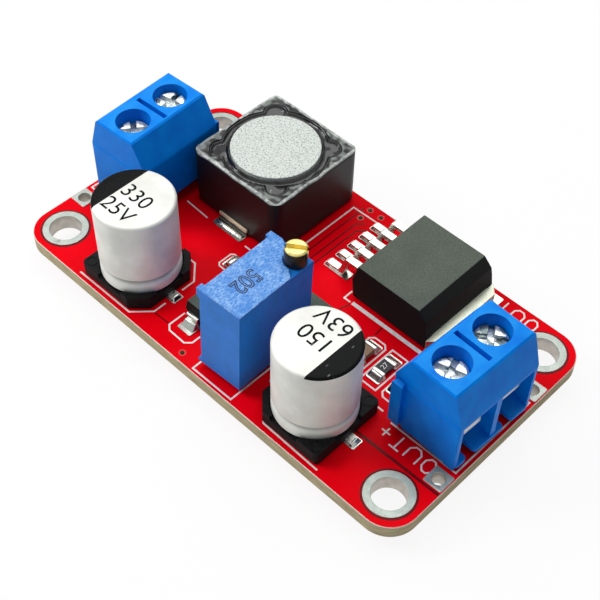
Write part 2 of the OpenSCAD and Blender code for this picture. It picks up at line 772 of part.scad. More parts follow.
// The block's outer form: its profile, with rounded upright corners and stepped ends
module terminal_block() {
    block_d = terminal_back + terminal_lip;
    intersection() {
        across(terminal_l) terminal_profile();
        translate([(terminal_lip - terminal_back) / 2, 0, 0])
            rounded_plate(block_d, terminal_l, terminal_h, terminal_edge_r);
        along_x(3 * block_d) {
            terminal_half_elevation();
            mirror([1, 0]) terminal_half_elevation();
        }
    }
}

// Feet under the walls, set back a little from the end faces
module terminal_feet() {
    t = terminal_end_wall - terminal_edge_r;
    end = terminal_l / 2 - terminal_edge_r - t;
    back = terminal_relief_d - terminal_back;
    front = terminal_lip - terminal_edge_r - terminal_foot_l;
    for (x = [back, front], y = [-end - t, -t / 2, end])
        block([x, y, 0], [x + terminal_foot_l, y + t, terminal_standoff]);
}

// Plan of the rib, wider at its outer face, grown by a clearance for the groove
module rib_plan(room) {
    half = rib_w / 2 + room;
    depth = rib_out + room;
    polygon([[-half + depth / 3, 0], [half - depth / 3, 0], [half, -depth], [-half, -depth]]);
}

module terminal_rib() {
    translate([rib_x, -terminal_l / 2, rib_low_h]) linear_extrude(rib_high_h - rib_low_h) rib_plan(0);
}

module terminal_groove() {
    translate([rib_x, terminal_l / 2, -past]) linear_extrude(rib_high_h + past) rib_plan(rib_clearance);
}

// One pole's hollow: the contact chamber, the wire mouth and the screw well
module pole_hollow(pole) {
    y = (2 * pole - 1) * mouth_y;
    front = terminal_lip + past;
    block([frame_back - frame_clearance, y - mouth_w / 2, -past], [front, y + mouth_w / 2, frame_h]);
    block([chamber_front, y - mouth_w / 2, -past], [front, y + mouth_w / 2, mouth_h]);
    at_pole(pole) translate([0, 0, frame_h - past]) cylinder(terminal_h, d = well_d);
}

// A flat foot at the bottom of the wire mouths, from one side to the other
module mouth_foot(from, to) {
    l = foot_front - chamber_front;
    translate([foot_front - l / 2, (from + to) / 2, terminal_standoff])
        rounded_plate(l, to - from, foot_h - terminal_standoff, foot_r);
}

// The feet: one beside each end wall and one on both sides of the wall between the poles
module mouth_feet() {
    end = terminal_l / 2 - terminal_edge_r;
    mouth_foot(-end, foot_w - mouth_y - mouth_w / 2);
    mouth_foot(mouth_w / 2 - mouth_y - ramp_w, mouth_y - mouth_w / 2 + foot_w);
    mouth_foot(mouth_y + mouth_w / 2 - ramp_w, end);
}

// The ramp of a pole, from its foot up to the contact frame's floor
module entry_ramp(pole) {
    y = (2 * pole - 1) * mouth_y;
    front = foot_front - foot_r;
    translate([0, y + mouth_w / 2 - ramp_w / 2, 0]) across(ramp_w) polygon([
        [chamber_front, terminal_standoff],
        [front, terminal_standoff],
        [front, foot_h],
        [chamber_front, frame_floor_h]
    ]);
}

module terminal_housing() {
    difference() {
        terminal_block();
        for (pole = [0, 1]) pole_hollow(pole);
        block([pole_x - test_slot_l / 2, -test_slot_w / 2, terminal_h - test_slot_depth],
              [pole_x + test_slot_l / 2, test_slot_w / 2, terminal_h + past]);
        terminal_groove();
    }
    mouth_feet();
    for (pole = [0, 1]) entry_ramp(pole);
    terminal_rib();
    terminal_feet();
}

// The flat pin of a contact frame, from the frame's floor to its pointed end, about the board's underside
module terminal_pin() {
    top = board_t + frame_low_h;
    across(pin_t) polygon([
        [-pin_w / 2, top],
        [-pin_w / 2, pin_w / 2 - pin_out],
        [-pin_w / 4, -pin_out],
        [pin_w / 4, -pin_out],
        [pin_w / 2, pin_w / 2 - pin_out],
        [pin_w / 2, top]
    ]);
}

module contact_frame(pole) {
    translate([0, pole_y(pole), 0]) {
        difference() {
            block([frame_back, -frame_w / 2, frame_low_h], [frame_front, frame_w / 2, frame_h]);
            block([frame_back - past, -tunnel_w / 2, frame_floor_h],
                  [frame_front + past, tunnel_w / 2, nut_low_h]);
            translate([pole_x, 0, nut_low_h - past])
                cylinder(frame_nut_t + 2 * past, d = shank_d + 2 * shank_clearance);
        }
        translate([pin_x, 0, -board_t]) terminal_pin();
    }
}

module contact_frames() {
    for (pole = [0, 1]) contact_frame(pole);
}

// A clamp plate with its front edge turned up, lowered by the screw's drop
module clamp_plate(pole, drops) {
    bend = plate_t / 2;
    translate([0, pole_y(pole), plate_open_h - drops[pole]]) across(plate_w) polygon([
        [plate_back, 0],
        [plate_front - bend, 0],
        [plate_front, bend],
        [plate_front, plate_t + plate_lip_h],
        [plate_front - plate_t, plate_t + plate_lip_h],
        [plate_front - plate_t, plate_t],
        [plate_back, plate_t]
    ]);
}

// A clamp screw: a round head with cross slots, and a plain shank for its thread
module clamp_screw(pole, drops, turns) {
    at_pole(pole) translate([0, 0, head_open_h - drops[pole]]) difference() {
        rotate_extrude() polygon([
            [0, -shank_l],
            [shank_d / 2 - screw_edge, -shank_l],
            [shank_d / 2, screw_edge - shank_l],
            [shank_d / 2, 0],
            [head_d / 2, 0],
            [head_d / 2, head_t - screw_edge],
            [head_d / 2 - screw_edge, head_t],
            [0, head_t]
        ]);
        for (turn = [0, 90]) rotate(turn + turns[pole])
            block([-head_d, -cross_slot_w / 2, head_t - cross_slot_depth],
                  [head_d, cross_slot_w / 2, head_t + past]);
    }
}

module output_terminal_housing() {
    color("#1668d8") at_output() terminal_housing();
}

module output_contact_frames() {
    color("silver") at_output() contact_frames();
}

module output_clamp_plate_1() {
    color("silver") at_output() clamp_plate(0, output_drops);
}

module output_clamp_plate_2() {
    color("silver") at_output() clamp_plate(1, output_drops);
}

module output_clamp_screw_1() {
    color("lightgray") at_output() clamp_screw(0, output_drops, output_screw_turns);
}

module output_clamp_screw_2() {
    color("lightgray") at_output() clamp_screw(1, output_drops, output_screw_turns);
}

module input_terminal_housing() {
    color("#1668d8") at_input() terminal_housing();
}

module input_contact_frames() {
    color("silver") at_input() contact_frames();
}

module input_clamp_plate_1() {
    color("silver") at_input() clamp_plate(0, input_drops);
}

module input_clamp_plate_2() {
    color("silver") at_input() clamp_plate(1, input_drops);
}

module input_clamp_screw_1() {
    color("lightgray") at_input() clamp_screw(0, input_drops, input_screw_turns);
}

module input_clamp_screw_2() {
    color("lightgray") at_input() clamp_screw(1, input_drops, input_screw_turns);
}

// Inductor

module at_inductor() {
    translate([inductor_x, inductor_y, 0]) children();
}

// Plan of the hollow that the glue fills at the top: the round bore and the corner pockets
module pocket_plan() {
    circle(d = bore_d);
    for (x = [-1, 1], y = [-1, 1]) translate([x, y] * pocket_at) circle(pocket_r);
}

// A square block with round upright corners and a round top edge
module shield_block() {
    h = inductor_top - inductor_low;
    intersection() {
        rounded_plate(inductor_w, inductor_w, h, inductor_corner_r);
        across(2 * inductor_w) shield_elevation(h);
        along_x(2 * inductor_w) shield_elevation(h);
    }
}

module shield_elevation(h) {
    half = inductor_w / 2;
    translate([-half, 0]) square([inductor_w, h - inductor_edge_r]);
    translate([inductor_edge_r - half, 0]) square([inductor_w - 2 * inductor_edge_r, h]);
    for (side = [-1, 1])
        translate([side * (half - inductor_edge_r), h - inductor_edge_r]) circle(inductor_edge_r);
}

module inductor_shield() {
    color("#1c1c1e") at_inductor() difference() {
        translate([0, 0, inductor_low]) shield_block();
        translate([0, 0, inductor_low - past]) cylinder(inductor_h + 2 * past, d = bore_d);
        translate([0, 0, pocket_low]) linear_extrude(pocket_depth + past) pocket_plan();
    }
}

// Drum core: two round flanges and a waist, the lower flange filling the shield's bore
module inductor_core() {
    color("#8f9493") at_inductor() {
        translate([0, 0, inductor_low]) cylinder(core_flange_t, d = bore_d);
        translate([0, 0, inductor_low]) cylinder(core_top - inductor_low, d = core_waist_d);
        translate([0, 0, core_top - core_flange_t]) cylinder(core_flange_t, d = core_d);
    }
}

module inductor_winding() {
    low = inductor_low + core_flange_t;
    color("#b5651d") at_inductor() translate([0, 0, low]) difference() {
        cylinder(core_top - core_flange_t - winding_clearance - low, d = winding_d);
        translate([0, 0, -past]) cylinder(inductor_h, d = core_waist_d);
    }
}

// Glue round the core's top, in the bore and in the corner pockets
module inductor_glue() {
    color("#101012") at_inductor() difference() {
        translate([0, 0, pocket_low]) linear_extrude(glue_top - pocket_low) pocket_plan();
        translate([0, 0, pocket_low - past]) cylinder(inductor_h, d = core_d);
    }
}

// End clips: a plate under the inductor with an edge turned up against the shield
module inductor_clips() {
    color("gainsboro") at_inductor() for (turn = [0, 180]) rotate(turn) {
        block([-clip_w / 2, -inductor_w / 2 - clip_t, seat],
              [clip_w / 2, clip_reach - inductor_w / 2, inductor_low]);
        block([-clip_w / 2, -inductor_w / 2 - clip_t, inductor_low],
              [clip_w / 2, -inductor_w / 2, inductor_low + clip_rise]);
    }
}

// Regulator, in a frame at the foot of its face over the tab, with the leads towards -X

module at_regulator() {
    translate([regulator_x, regulator_y, board_t]) children();
}

module regulator_form() {
    lead_face = -regulator_d;
    intersection() {
        across(2 * regulator_w) polygon([
            [0, body_low_h],
            [0, tab_top_h],
            [-regulator_tab_draft, regulator_h - regulator_bevel_h],
            [-regulator_tab_draft - regulator_bevel, regulator_h],
            [lead_face + regulator_lead_draft, regulator_h],
            [lead_face, regulator_part_h],
            [lead_face + regulator_lead_draft / 2, body_low_h]
        ]);
        along_x(3 * regulator_d) polygon([
            [-regulator_w / 2, 0],
            [-regulator_w / 2, regulator_part_h],
            [regulator_draft - regulator_w / 2, regulator_h],
            [regulator_w / 2 - regulator_draft, regulator_h],
            [regulator_w / 2, regulator_part_h],
            [regulator_w / 2, 0]
        ]);
    }
}

module regulator_body() {
    color("#3a3f3c") at_regulator() difference() {
        regulator_form();
        block([-tab_under, -tab_inner_w / 2, 0], [past, tab_inner_w / 2, tab_top_h]);
        for (row = lead_rows) translate([0, row * lead_pitch, 0]) regulator_lead();
    }
}

// The tab is as wide as the body where it stands out, and narrower where the body covers its sides
module regulator_tab() {
    color("lightgray") at_regulator() translate([0, 0, land_t]) linear_extrude(tab_t) polygon([
        [-tab_under, -tab_inner_w / 2],
        [0, -tab_inner_w / 2],
        [0, -regulator_w / 2],
        [tab_out - tab_corner, -regulator_w / 2],
        [tab_out, tab_corner - regulator_w / 2],
        [tab_out, regulator_w / 2 - tab_corner],
        [tab_out - tab_corner, regulator_w / 2],
        [0, regulator_w / 2],
        [0, tab_inner_w / 2],
        [-tab_under, tab_inner_w / 2]
    ]);
}

// A lead bent down to its foot: the outline has the lead's thickness along its whole length
module regulator_lead() {
    high = lead_mid_h + lead_t / 2;
    low = lead_mid_h - lead_t / 2;
    knee = -regulator_d - lead_arm;
    heel = knee - lead_slope;
    foot_top = land_t + lead_t;
    bend = lead_t / 2;
    across(lead_w) polygon([
        [lead_hold - regulator_d, high],
        [knee - bend / 2, high],
        [knee - bend, high - bend / 2],
        [heel - bend, foot_top + bend / 2],
        [heel - 1.5 * bend, foot_top],
        [-lead_tip, foot_top],
        [-lead_tip, land_t],
        [heel, land_t],
        [heel + bend, land_t + bend / 2],
        [knee + bend, low],
        [lead_hold - regulator_d, low]
    ]);
}

module regulator_leads() {
    color("gainsboro") at_regulator() for (row = lead_rows)
        translate([0, row * lead_pitch, 0]) regulator_lead();
}

// Capacitors, in a frame on the board's top face, with the chamfered base corners towards +X

module at_input_can() {
    translate([input_can_x, can_y, board_t]) children();
}

module at_output_can() {
    translate([output_can_x, can_y, board_t]) rotate(180) children();
}

// Half section of the can, with its rounded top edge, its rolled bottom edge and its groove
module can_section() {
    r = can_d / 2;
    l = can_h - can_low_h;
    difference() {
        union() {
            square([r - can_edge_r, l]);
            square([r - can_roll_r, l - can_edge_r]);
            translate([0, can_roll_r]) square([r, l - can_roll_r - can_edge_r]);
            translate([r - can_edge_r, l - can_edge_r]) circle(can_edge_r);
            translate([r - can_roll_r, can_roll_r]) circle(can_roll_r);
        }
        translate([r + groove_r - groove_depth, groove_h]) circle(groove_r);
    }
}

module can() {
    translate([0, 0, can_low_h]) rotate_extrude() can_section();
}

module base_plan() {
    half = base_w / 2;
    intersection() {
        rounded_outline(base_w, base_w, base_corner_r);
        polygon([
            [-half, -half],
            [half - base_chamfer, -half],
            [half, base_chamfer - half],
            [half, half - base_chamfer],
            [half - base_chamfer, half],
            [-half, half]
        ]);
    }
}

module can_base() {
    difference() {
        translate([0, 0, land_t]) linear_extrude(base_t) base_plan();
        can_leads();
    }
    difference() {
        translate([0, 0, can_low_h]) linear_extrude(post_h - can_low_h) base_plan();
        translate([0, 0, can_low_h - past]) cylinder(can_h, d = can_d + 2 * can_clearance);
        block([-base_w, -post_cut_w / 2, can_low_h - past], [base_w, post_cut_w / 2, can_h]);
        block([-post_cut_w / 2, -base_w, can_low_h - past], [post_cut_w / 2, base_w, can_h]);
    }
}

module can_leads() {
    for (turn = [0, 180]) rotate(turn)
        block([can_lead_in, -can_lead_w / 2, land_t], [can_lead_end, can_lead_w / 2, land_t + can_lead_t]);
}

module input_capacitor_can() {
    color("#d9d9d6") at_input_can() can();
}

module input_capacitor_base() {
    color("#141414") at_input_can() can_base();
}

module input_capacitor_leads() {
    color("gainsboro") at_input_can() can_leads();
}

module output_capacitor_can() {
    color("#d9d9d6") at_output_can() can();
}

module output_capacitor_base() {
    color("#141414") at_output_can() can_base();
}

module output_capacitor_leads() {
    color("gainsboro") at_output_can() can_leads();
}

// Trimmer, in a frame at its middle on the board's top face. Its pins stand upright in the board

module drill_pin() {
    low = -trimmer_pin_out;
    high = board_t + trimmer_foot_h + trimmer_pin_hold;
    translate([0, 0, low]) cylinder(high - low, d = trimmer_pin_d);
}

// The housing leans about the outer edge of its back feet
module at_trimmer() {
    pivot = trimmer_half[1] - trimmer_foot_inset;
    translate([trimmer_x, trimmer_y, board_t]) rotate(trimmer_turn)
        translate([0, pivot, 0]) rotate([-trimmer_lean, 0, 0]) translate([0, -pivot, 0]) children();
}

module at_trimmer_screw() {
    at_trimmer() translate([trimmer_screw_at[0], trimmer_screw_at[1], trimmer_step_h]) children();
}

// The step's corner is cut off along a slant, with a round recess for the adjusting screw's head
module trimmer_step_plan() {
    x = trimmer_half[0];
    y = trimmer_half[1];
    polygon([
        [x - trimmer_step_d, y],
        [x - trimmer_step_d, y + past],
        [x + past, y + past],
        [x + past, y - trimmer_step_w],
        [x, y - trimmer_step_w]
    ]);
    translate(trimmer_screw_at) circle(d = trimmer_head_d + 2 * trimmer_head_clearance);
}

// Nubs stand out of the back at its four corners, the upper ones with a slanted underside
module trimmer_nubs() {
    side = trimmer_half[1] - trimmer_nub_w / 2;
    for (y = [-side, side]) translate([-trimmer_half[0], y, 0]) {
        across(trimmer_nub_w) polygon([
            [0, trimmer_h - trimmer_nub_h - trimmer_nub_out],
            [0, trimmer_h],
            [-trimmer_nub_out, trimmer_h],
            [-trimmer_nub_out, trimmer_h - trimmer_nub_h]
        ]);
        block([-trimmer_nub_out, -trimmer_nub_w / 2, trimmer_foot_h],
              [0, trimmer_nub_w / 2, trimmer_foot_h + trimmer_low_nub_h]);
    }
}

module trimmer_feet() {
    foot = trimmer_half - [1, 1] * (trimmer_foot_inset + trimmer_foot_w / 2);
    for (x = [-1, 1], y = [-1, 1])
        translate([x * foot[0], y * foot[1], 0]) linear_extrude(trimmer_foot_h)
            square(trimmer_foot_w, center = true);
}

module trimmer_housing() {
    color("#3f86dc") difference() {
        at_trimmer() {
            translate([0, 0, trimmer_foot_h]) linear_extrude(trimmer_h - trimmer_foot_h)
                square(2 * trimmer_half, center = true);
            trimmer_nubs();
            trimmer_feet();
        }
        at_trimmer() translate([0, 0, trimmer_step_h])
            linear_extrude(trimmer_step + past) trimmer_step_plan();
        at_trimmer_screw() translate([0, 0, -trimmer_shank_l])
            cylinder(trimmer_shank_l + past, d = trimmer_shank_d + 2 * trimmer_clearance);
        at_trimmer_pins() drill_pin();
    }
}

module trimmer_screw() {
    head_low = trimmer_clearance;
    head_high = trimmer_step + trimmer_head_out;
    color("goldenrod") at_trimmer_screw() difference() {
        rotate_extrude() polygon([
            [0, trimmer_clearance - trimmer_shank_l],
            [trimmer_shank_d / 2, trimmer_clearance - trimmer_shank_l],
            [trimmer_shank_d / 2, head_low],
            [trimmer_head_d / 2, head_low],
            [trimmer_head_d / 2, head_high - trimmer_head_edge],
            [trimmer_head_d / 2 - trimmer_head_edge, head_high],
            [0, head_high]
        ]);
        rotate(trimmer_slot_turn)
            block([-trimmer_head_d, -trimmer_slot_w / 2, head_high - trimmer_slot_depth],
                  [trimmer_head_d, trimmer_slot_w / 2, head_high + past]);
    }
}

module trimmer_pins() {
    color("gainsboro") at_trimmer_pins() drill_pin();
}

// Diodes, in a frame on the board's top face, lying along X

module at_protection_diode() {
    translate([protection_diode_at[0], protection_diode_at[1], board_t]) rotate(90) children();
}

module at_rectifier_diode() {
    translate([rectifier_diode_at[0], rectifier_diode_at[1], board_t]) children();
}

// Section of a moulded body: widest at its parting line, drafted above and below
module moulded_section(w) {
    polygon([
        [diode_draft - w / 2, diode_low_h + land_t],
        [w / 2 - diode_draft, diode_low_h + land_t],
        [w / 2, diode_part_h],
        [w / 2 - diode_draft, diode_h],
        [diode_draft - w / 2, diode_h],
        [-w / 2, diode_part_h]
    ]);
}

module diode_body() {
    intersection() {
        across(2 * diode_w) moulded_section(diode_l);
        along_x(2 * diode_l) moulded_section(diode_w);
    }
}

// A lead leaves the body at its parting line, turns down and folds in under the body
module diode_leads() {
    high = diode_part_h + diode_lead_t / 2;
    low = diode_part_h - diode_lead_t / 2;
    for (turn = [0, 180]) rotate(turn) across(diode_lead_w) polygon([
        [diode_l / 2, high],
        [diode_tip - diode_lead_t / 2, high],
        [diode_tip, high - diode_lead_t / 2],
        [diode_tip, land_t],
        [diode_tip - diode_foot, land_t],
        [diode_tip - diode_foot, land_t + diode_lead_t],
        [diode_tip - diode_lead_t, land_t + diode_lead_t],
        [diode_tip - diode_lead_t, low],
        [diode_l / 2, low]
    ]);
}

module protection_diode_body() {
    color("#2b2c2e") at_protection_diode() diode_body();
}

module protection_diode_leads() {
    color("gainsboro") at_protection_diode() diode_leads();
}

module rectifier_diode_body() {
    color("#2b2c2e") at_rectifier_diode() diode_body();
}

module rectifier_diode_leads() {
    color("gainsboro") at_rectifier_diode() diode_leads();
}

// Chip parts

module at_chip(place, turn) {
    translate([place[0], place[1], seat]) rotate(turn) children();
}

module at_chip_capacitors() {
    at_chip(output_chip_at, 90) children();
    at_chip(feedback_chip_at, 90) children();
    at_chip(input_chip_at, 0) children();
}

module chip_body(t) {
    half = chip_l / 2 - chip_end_l;
    block([-half, -chip_w / 2, chip_end_t], [half, chip_w / 2, t - chip_end_t]);
}

module chip_ends(t) {
    half = chip_w / 2 + chip_end_t;
    for (turn = [0, 180]) rotate(turn)
        block([chip_l / 2 - chip_end_l, -half, 0], [chip_l / 2, half, t]);
}

module chip_resistor_body() {
    color("#1a1a1a") at_chip(resistor_at, 90) chip_body(resistor_t);
}

module chip_resistor_ends() {
    color("gainsboro") at_chip(resistor_at, 90) chip_ends(resistor_t);
}

module chip_capacitor_bodies() {
    color("#b79a72") at_chip_capacitors() chip_body(chip_capacitor_t);
}

module chip_capacitor_ends() {
    color("gainsboro") at_chip_capacitors() chip_ends(chip_capacitor_t);
}

pcb();
mounting_rings();
wire_pads();
solder_lands();
solder_joints();
output_terminal_housing();
output_contact_frames();
output_clamp_plate_1();
output_clamp_plate_2();
output_clamp_screw_1();
output_clamp_screw_2();
input_terminal_housing();
input_contact_frames();
input_clamp_plate_1();
input_clamp_plate_2();
input_clamp_screw_1();
input_clamp_screw_2();
inductor_shield();
inductor_core();
inductor_winding();
inductor_glue();
inductor_clips();
regulator_body();
regulator_tab();
regulator_leads();
input_capacitor_can();
input_capacitor_base();
input_capacitor_leads();
output_capacitor_can();
output_capacitor_base();
output_capacitor_leads();
trimmer_housing();
trimmer_screw();
trimmer_pins();
protection_diode_body();
protection_diode_leads();
rectifier_diode_body();
rectifier_diode_leads();
chip_resistor_body();
chip_resistor_ends();
chip_capacitor_bodies();
chip_capacitor_ends();
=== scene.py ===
import math

import bmesh
import bpy
from bpy.props import FloatProperty, FloatVectorProperty, PointerProperty
from mathutils import Matrix, Vector
from mathutils.noise import noise as noise_at


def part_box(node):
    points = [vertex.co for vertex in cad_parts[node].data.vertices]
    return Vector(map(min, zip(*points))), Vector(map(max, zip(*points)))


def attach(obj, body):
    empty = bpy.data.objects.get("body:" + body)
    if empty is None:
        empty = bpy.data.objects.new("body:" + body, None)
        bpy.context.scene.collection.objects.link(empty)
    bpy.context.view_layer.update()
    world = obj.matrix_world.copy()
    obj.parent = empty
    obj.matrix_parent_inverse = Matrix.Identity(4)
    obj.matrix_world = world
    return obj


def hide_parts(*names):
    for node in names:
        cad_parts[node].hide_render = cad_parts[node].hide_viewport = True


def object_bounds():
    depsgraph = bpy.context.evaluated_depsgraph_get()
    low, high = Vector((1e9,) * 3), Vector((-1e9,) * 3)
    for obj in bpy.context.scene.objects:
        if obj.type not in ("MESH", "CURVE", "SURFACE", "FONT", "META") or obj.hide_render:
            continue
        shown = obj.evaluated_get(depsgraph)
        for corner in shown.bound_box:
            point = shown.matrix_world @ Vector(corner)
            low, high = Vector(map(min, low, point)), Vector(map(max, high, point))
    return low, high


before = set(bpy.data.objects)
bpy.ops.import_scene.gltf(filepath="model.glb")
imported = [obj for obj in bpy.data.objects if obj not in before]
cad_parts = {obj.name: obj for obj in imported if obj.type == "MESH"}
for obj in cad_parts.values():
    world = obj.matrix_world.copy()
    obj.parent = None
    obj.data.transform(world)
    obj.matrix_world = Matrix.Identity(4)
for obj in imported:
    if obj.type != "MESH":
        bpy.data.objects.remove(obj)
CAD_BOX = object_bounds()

bl_info = {
    "name": "Boost converter module",
    "version": (1, 0, 0),
    "blender": (4, 5, 0),
    "location": "View3D > Sidebar > Converter",
    "description": "Dresses a small power board with its print, solder, plastics and metals",
    "category": "Object",
}

MM = 0.001
MERGE_DISTANCE = 0.001 * MM
FLAT_ANGLE = math.radians(1)
SHARP_ANGLE = math.radians(28)
SMOOTH_ANGLE = math.radians(40)
SPIN_STEPS = 96


def srgb(red, green, blue):
    """A colour as seen on a screen, from 0 to 255, as the linear colour that a shader takes."""
    parts = [value / 255 for value in (red, green, blue)]
    return tuple(p / 12.92 if p <= 0.04045 else ((p + 0.055) / 1.055) ** 2.4 for p in parts)


def colour(name, description, red, green, blue):
    return FloatVectorProperty(name=name, description=description, subtype="COLOR", size=3,
                               min=0, max=1, default=srgb(red, green, blue))


def length(name, description, millimetres):
    return FloatProperty(name=name, description=description, unit="LENGTH", default=millimetres * MM)


def angle(name, description, degrees):
    return FloatProperty(name=name, description=description, subtype="ANGLE", unit="ROTATION",
                         default=math.radians(degrees))


def power(name, description, watts):
    return FloatProperty(name=name, description=description, unit="POWER", default=watts)


# Settings

class BoardSettings(bpy.types.PropertyGroup):
    """Colours of the board, and the sizes of its print"""
    mask: colour("Mask", "Solder mask over copper", 242, 0, 22)
    mask_shade: colour("Mask shade", "Darker patches of the solder mask", 230, 0, 15)
    gap: colour("Gap", "Solder mask over the gaps between copper areas", 104, 0, 6)
    laminate: colour("Laminate", "Cut edge of the board", 206, 194, 160)
    laminate_shade: colour("Laminate shade", "Darker layers of the cut edge", 158, 146, 116)
    # Painted highlight: this pale colour on the bevelled corner of the board's edges stands for the light
    # that the corner catches
    arris_highlight: colour("Arris", "Bare corner along the board's edges", 236, 214, 206)
    arris_width: length("Arris width", "Width of that corner", 0.07)
    via: colour("Via", "Mask over the ring of a via", 214, 60, 66)
    ink: colour("Ink", "White print", 245, 243, 240)
    ink_rise: length("Ink rise", "Height of the print above the board", 0.02)
    line_width: length("Line width", "Width of a printed outline", 0.17)
    letter_width: length("Letter width", "Width of a letter's stroke", 0.16)
    gap_width: length("Gap width", "Width of a gap between copper areas", 0.16)
    wide_gap: length("Wide gap", "Width of the gap beside the output terminal", 0.3)
    gap_rise: length("Gap rise", "Height of the mask's bead over a gap", 0.01)
    via_ring: length("Via ring", "Width of the ring round a via", 0.13)
    halo_width: length("Halo width", "Width of the bare ring round a mounting hole's land", 0.22)


class PlasticSettings(bpy.types.PropertyGroup):
    """Colours of the moulded and painted parts, and the softness of their edges"""
    terminal: colour("Terminal", "Blue plastic of the screw terminals", 0, 137, 240)
    terminal_shade: colour("Terminal shade", "Darker patches of that plastic", 0, 120, 228)
    terminal_scuff: colour("Terminal scuff", "Rubbed patches on a terminal's top", 50, 170, 252)
    terminal_edge: length("Terminal edge", "Softness of a terminal's edges", 0.1)
    trimmer: colour("Trimmer", "Blue plastic of the trimmer", 24, 122, 216)
    trimmer_top: colour("Trimmer top", "Rubbed blue of the trimmer's top", 46, 126, 214)
    # Painted glints: this pale colour is mixed into the trimmer's top as fine glints
    trimmer_glints: colour("Trimmer grain", "Pale grain of the trimmer's top", 168, 206, 246)
    trimmer_ink: colour("Trimmer ink", "Dark lettering on the trimmer", 16, 26, 60)
    trimmer_edge: length("Trimmer edge", "Softness of the trimmer's edges", 0.06)
    compound: colour("Compound", "Moulding compound of the regulator and the diodes", 20, 21, 20)
    # Painted light: the tops get these paler colours than the sides, with pale glints, for the light that
    # falls on them
    compound_lit_top: colour("Compound top", "Ground top of those bodies", 72, 80, 72)
    compound_top_glints: colour("Compound grain", "Pale grain of that top", 108, 116, 106)
    compound_edge: length("Compound edge", "Softness of the moulded bodies' edges", 0.07)
    base: colour("Base", "Black plastic of the capacitor bases", 14, 14, 15)
    post_trim: length("Post trim", "How much lower a base's corner posts stand than in the solids", 0.5)
    dimple: length("Dimple", "Radius of the round mark on a base's posts", 0.48)
    ferrite: colour("Ferrite", "Black ferrite of the inductor's shield", 22, 20, 21)
    rim: colour("Rim", "Ground edge of that shield", 206, 211, 207)
    # Painted reflection: this grey is mixed in streaks over the glue film on the shield, as a painted sheen
    film: colour("Film", "Sheen of the glue film on top of that shield", 118, 126, 121)
    core: colour("Core", "Ground top of the inductor's core", 216, 222, 215)
    core_grain: colour("Core grain", "Dark pores of the core", 112, 122, 118)
    glue: colour("Glue", "Black glue round the core", 8, 9, 10)
    glaze: colour("Glaze", "Black glaze of the chip resistor", 22, 24, 28)
    ceramic: colour("Ceramic", "Brown ceramic of the chip capacitors", 150, 116, 84)
    can_ink: colour("Can ink", "Black print on the capacitors", 12, 13, 13)


class MetalSettings(bpy.types.PropertyGroup):
    """Colours of the metal parts"""
    tin: colour("Tin", "Tinned copper", 196, 198, 191)
    plating: colour("Plating", "Tinned rings and pads round the holes", 160, 168, 160)
    # Painted light: the walls of the holes get this paler tone than the flats of the same tin
    barrel_lit: colour("Barrel", "Walls of the plated holes", 206, 200, 190)
    tab: colour("Tab", "Heat tab of the regulator", 178, 182, 166)
    clip: colour("Clip", "End clips of the inductor", 232, 218, 186)
    # Painted shade: this dark colour on the clips' lower part stands for the shadow under the inductor's body
    clip_painted_shade: colour("Clip shade", "Tarnished foot of those clips", 34, 28, 20)
    solder: colour("Solder", "Solder", 172, 175, 170)
    plated: colour("Plated", "Plated steel of the contacts", 208, 210, 210)
    zinc: colour("Zinc", "Zinc of the clamp screws", 228, 233, 230)
    # Painted shade: this dark tone on some flats of the screw heads stands for dark reflections
    zinc_painted_shade: colour("Zinc shade", "Darker facets of those screws", 104, 120, 120)
    aluminium: colour("Aluminium", "Aluminium of the capacitor cans", 236, 237, 230)
    brass: colour("Brass", "Brass of the trimmer's screw", 255, 234, 140)
    # Painted shade: this dark colour on the outer wall of the screw's head stands for dark reflections
    brass_side_shade: colour("Brass side", "Tarnished side of that screw", 70, 52, 20)
    copper: colour("Copper", "Copper wire of the winding", 190, 110, 60)


class StageSettings(bpy.types.PropertyGroup):
    """Camera and light"""
    azimuth: angle("Azimuth", "Direction from which the camera looks, from the front", 43.174)
    elevation: angle("Elevation", "Height from which the camera looks", 50.192)
    roll: angle("Roll", "Turn of the camera about its own axis", 1.46)
    distance: length("Distance", "From the camera to its target", 117.212)
    target: FloatVectorProperty(name="Target", description="Point at the middle of the picture",
                                subtype="TRANSLATION", unit="LENGTH", size=3,
                                default=(1.449 * MM, -0.709 * MM, 1.6 * MM))
    lens: FloatProperty(name="Lens", description="Focal length", unit="CAMERA", default=72.39)
    floor_radius: length("Floor radius", "Radius of the pale floor", 1500)
    ambient: FloatProperty(name="Ambient", description="Level of the light from all round", default=0.22)
    overhead: power("Overhead", "Power of the light above", 0.9)
    key: power("Key", "Power of the light at the front left", 0.46)
    glint: power("Glint", "Power of the small light that draws bright highlights", 0.08)


class ConverterSettings(bpy.types.PropertyGroup):
    """All settings of the module"""
    board: PointerProperty(type=BoardSettings)
    plastic: PointerProperty(type=PlasticSettings)
    metal: PointerProperty(type=MetalSettings)
    stage: PointerProperty(type=StageSettings)


def settings():
    return bpy.context.scene.converter


# Shader nodes

# Inputs and output of a Mix node that carry its colours
MIX_COLOURS = (6, 7)
MIX_RESULT = 2


def is_socket(value):
    return isinstance(value, bpy.types.NodeSocket)


def put(socket, value):
    """Links an input to a node's output, or sets it to a plain value."""
    if is_socket(value):
        socket.id_data.links.new(value, socket)
    else:
        socket.default_value = value


def add_node(tree, kind, options=None, **inputs):
    """Adds a node, sets its options, and sets or links its inputs by name."""
    node = tree.nodes.new(kind)
    for option, value in (options or {}).items():
        setattr(node, option, value)
    for name, value in inputs.items():
        put(node.inputs[name.replace("_", " ")], value)
    return node


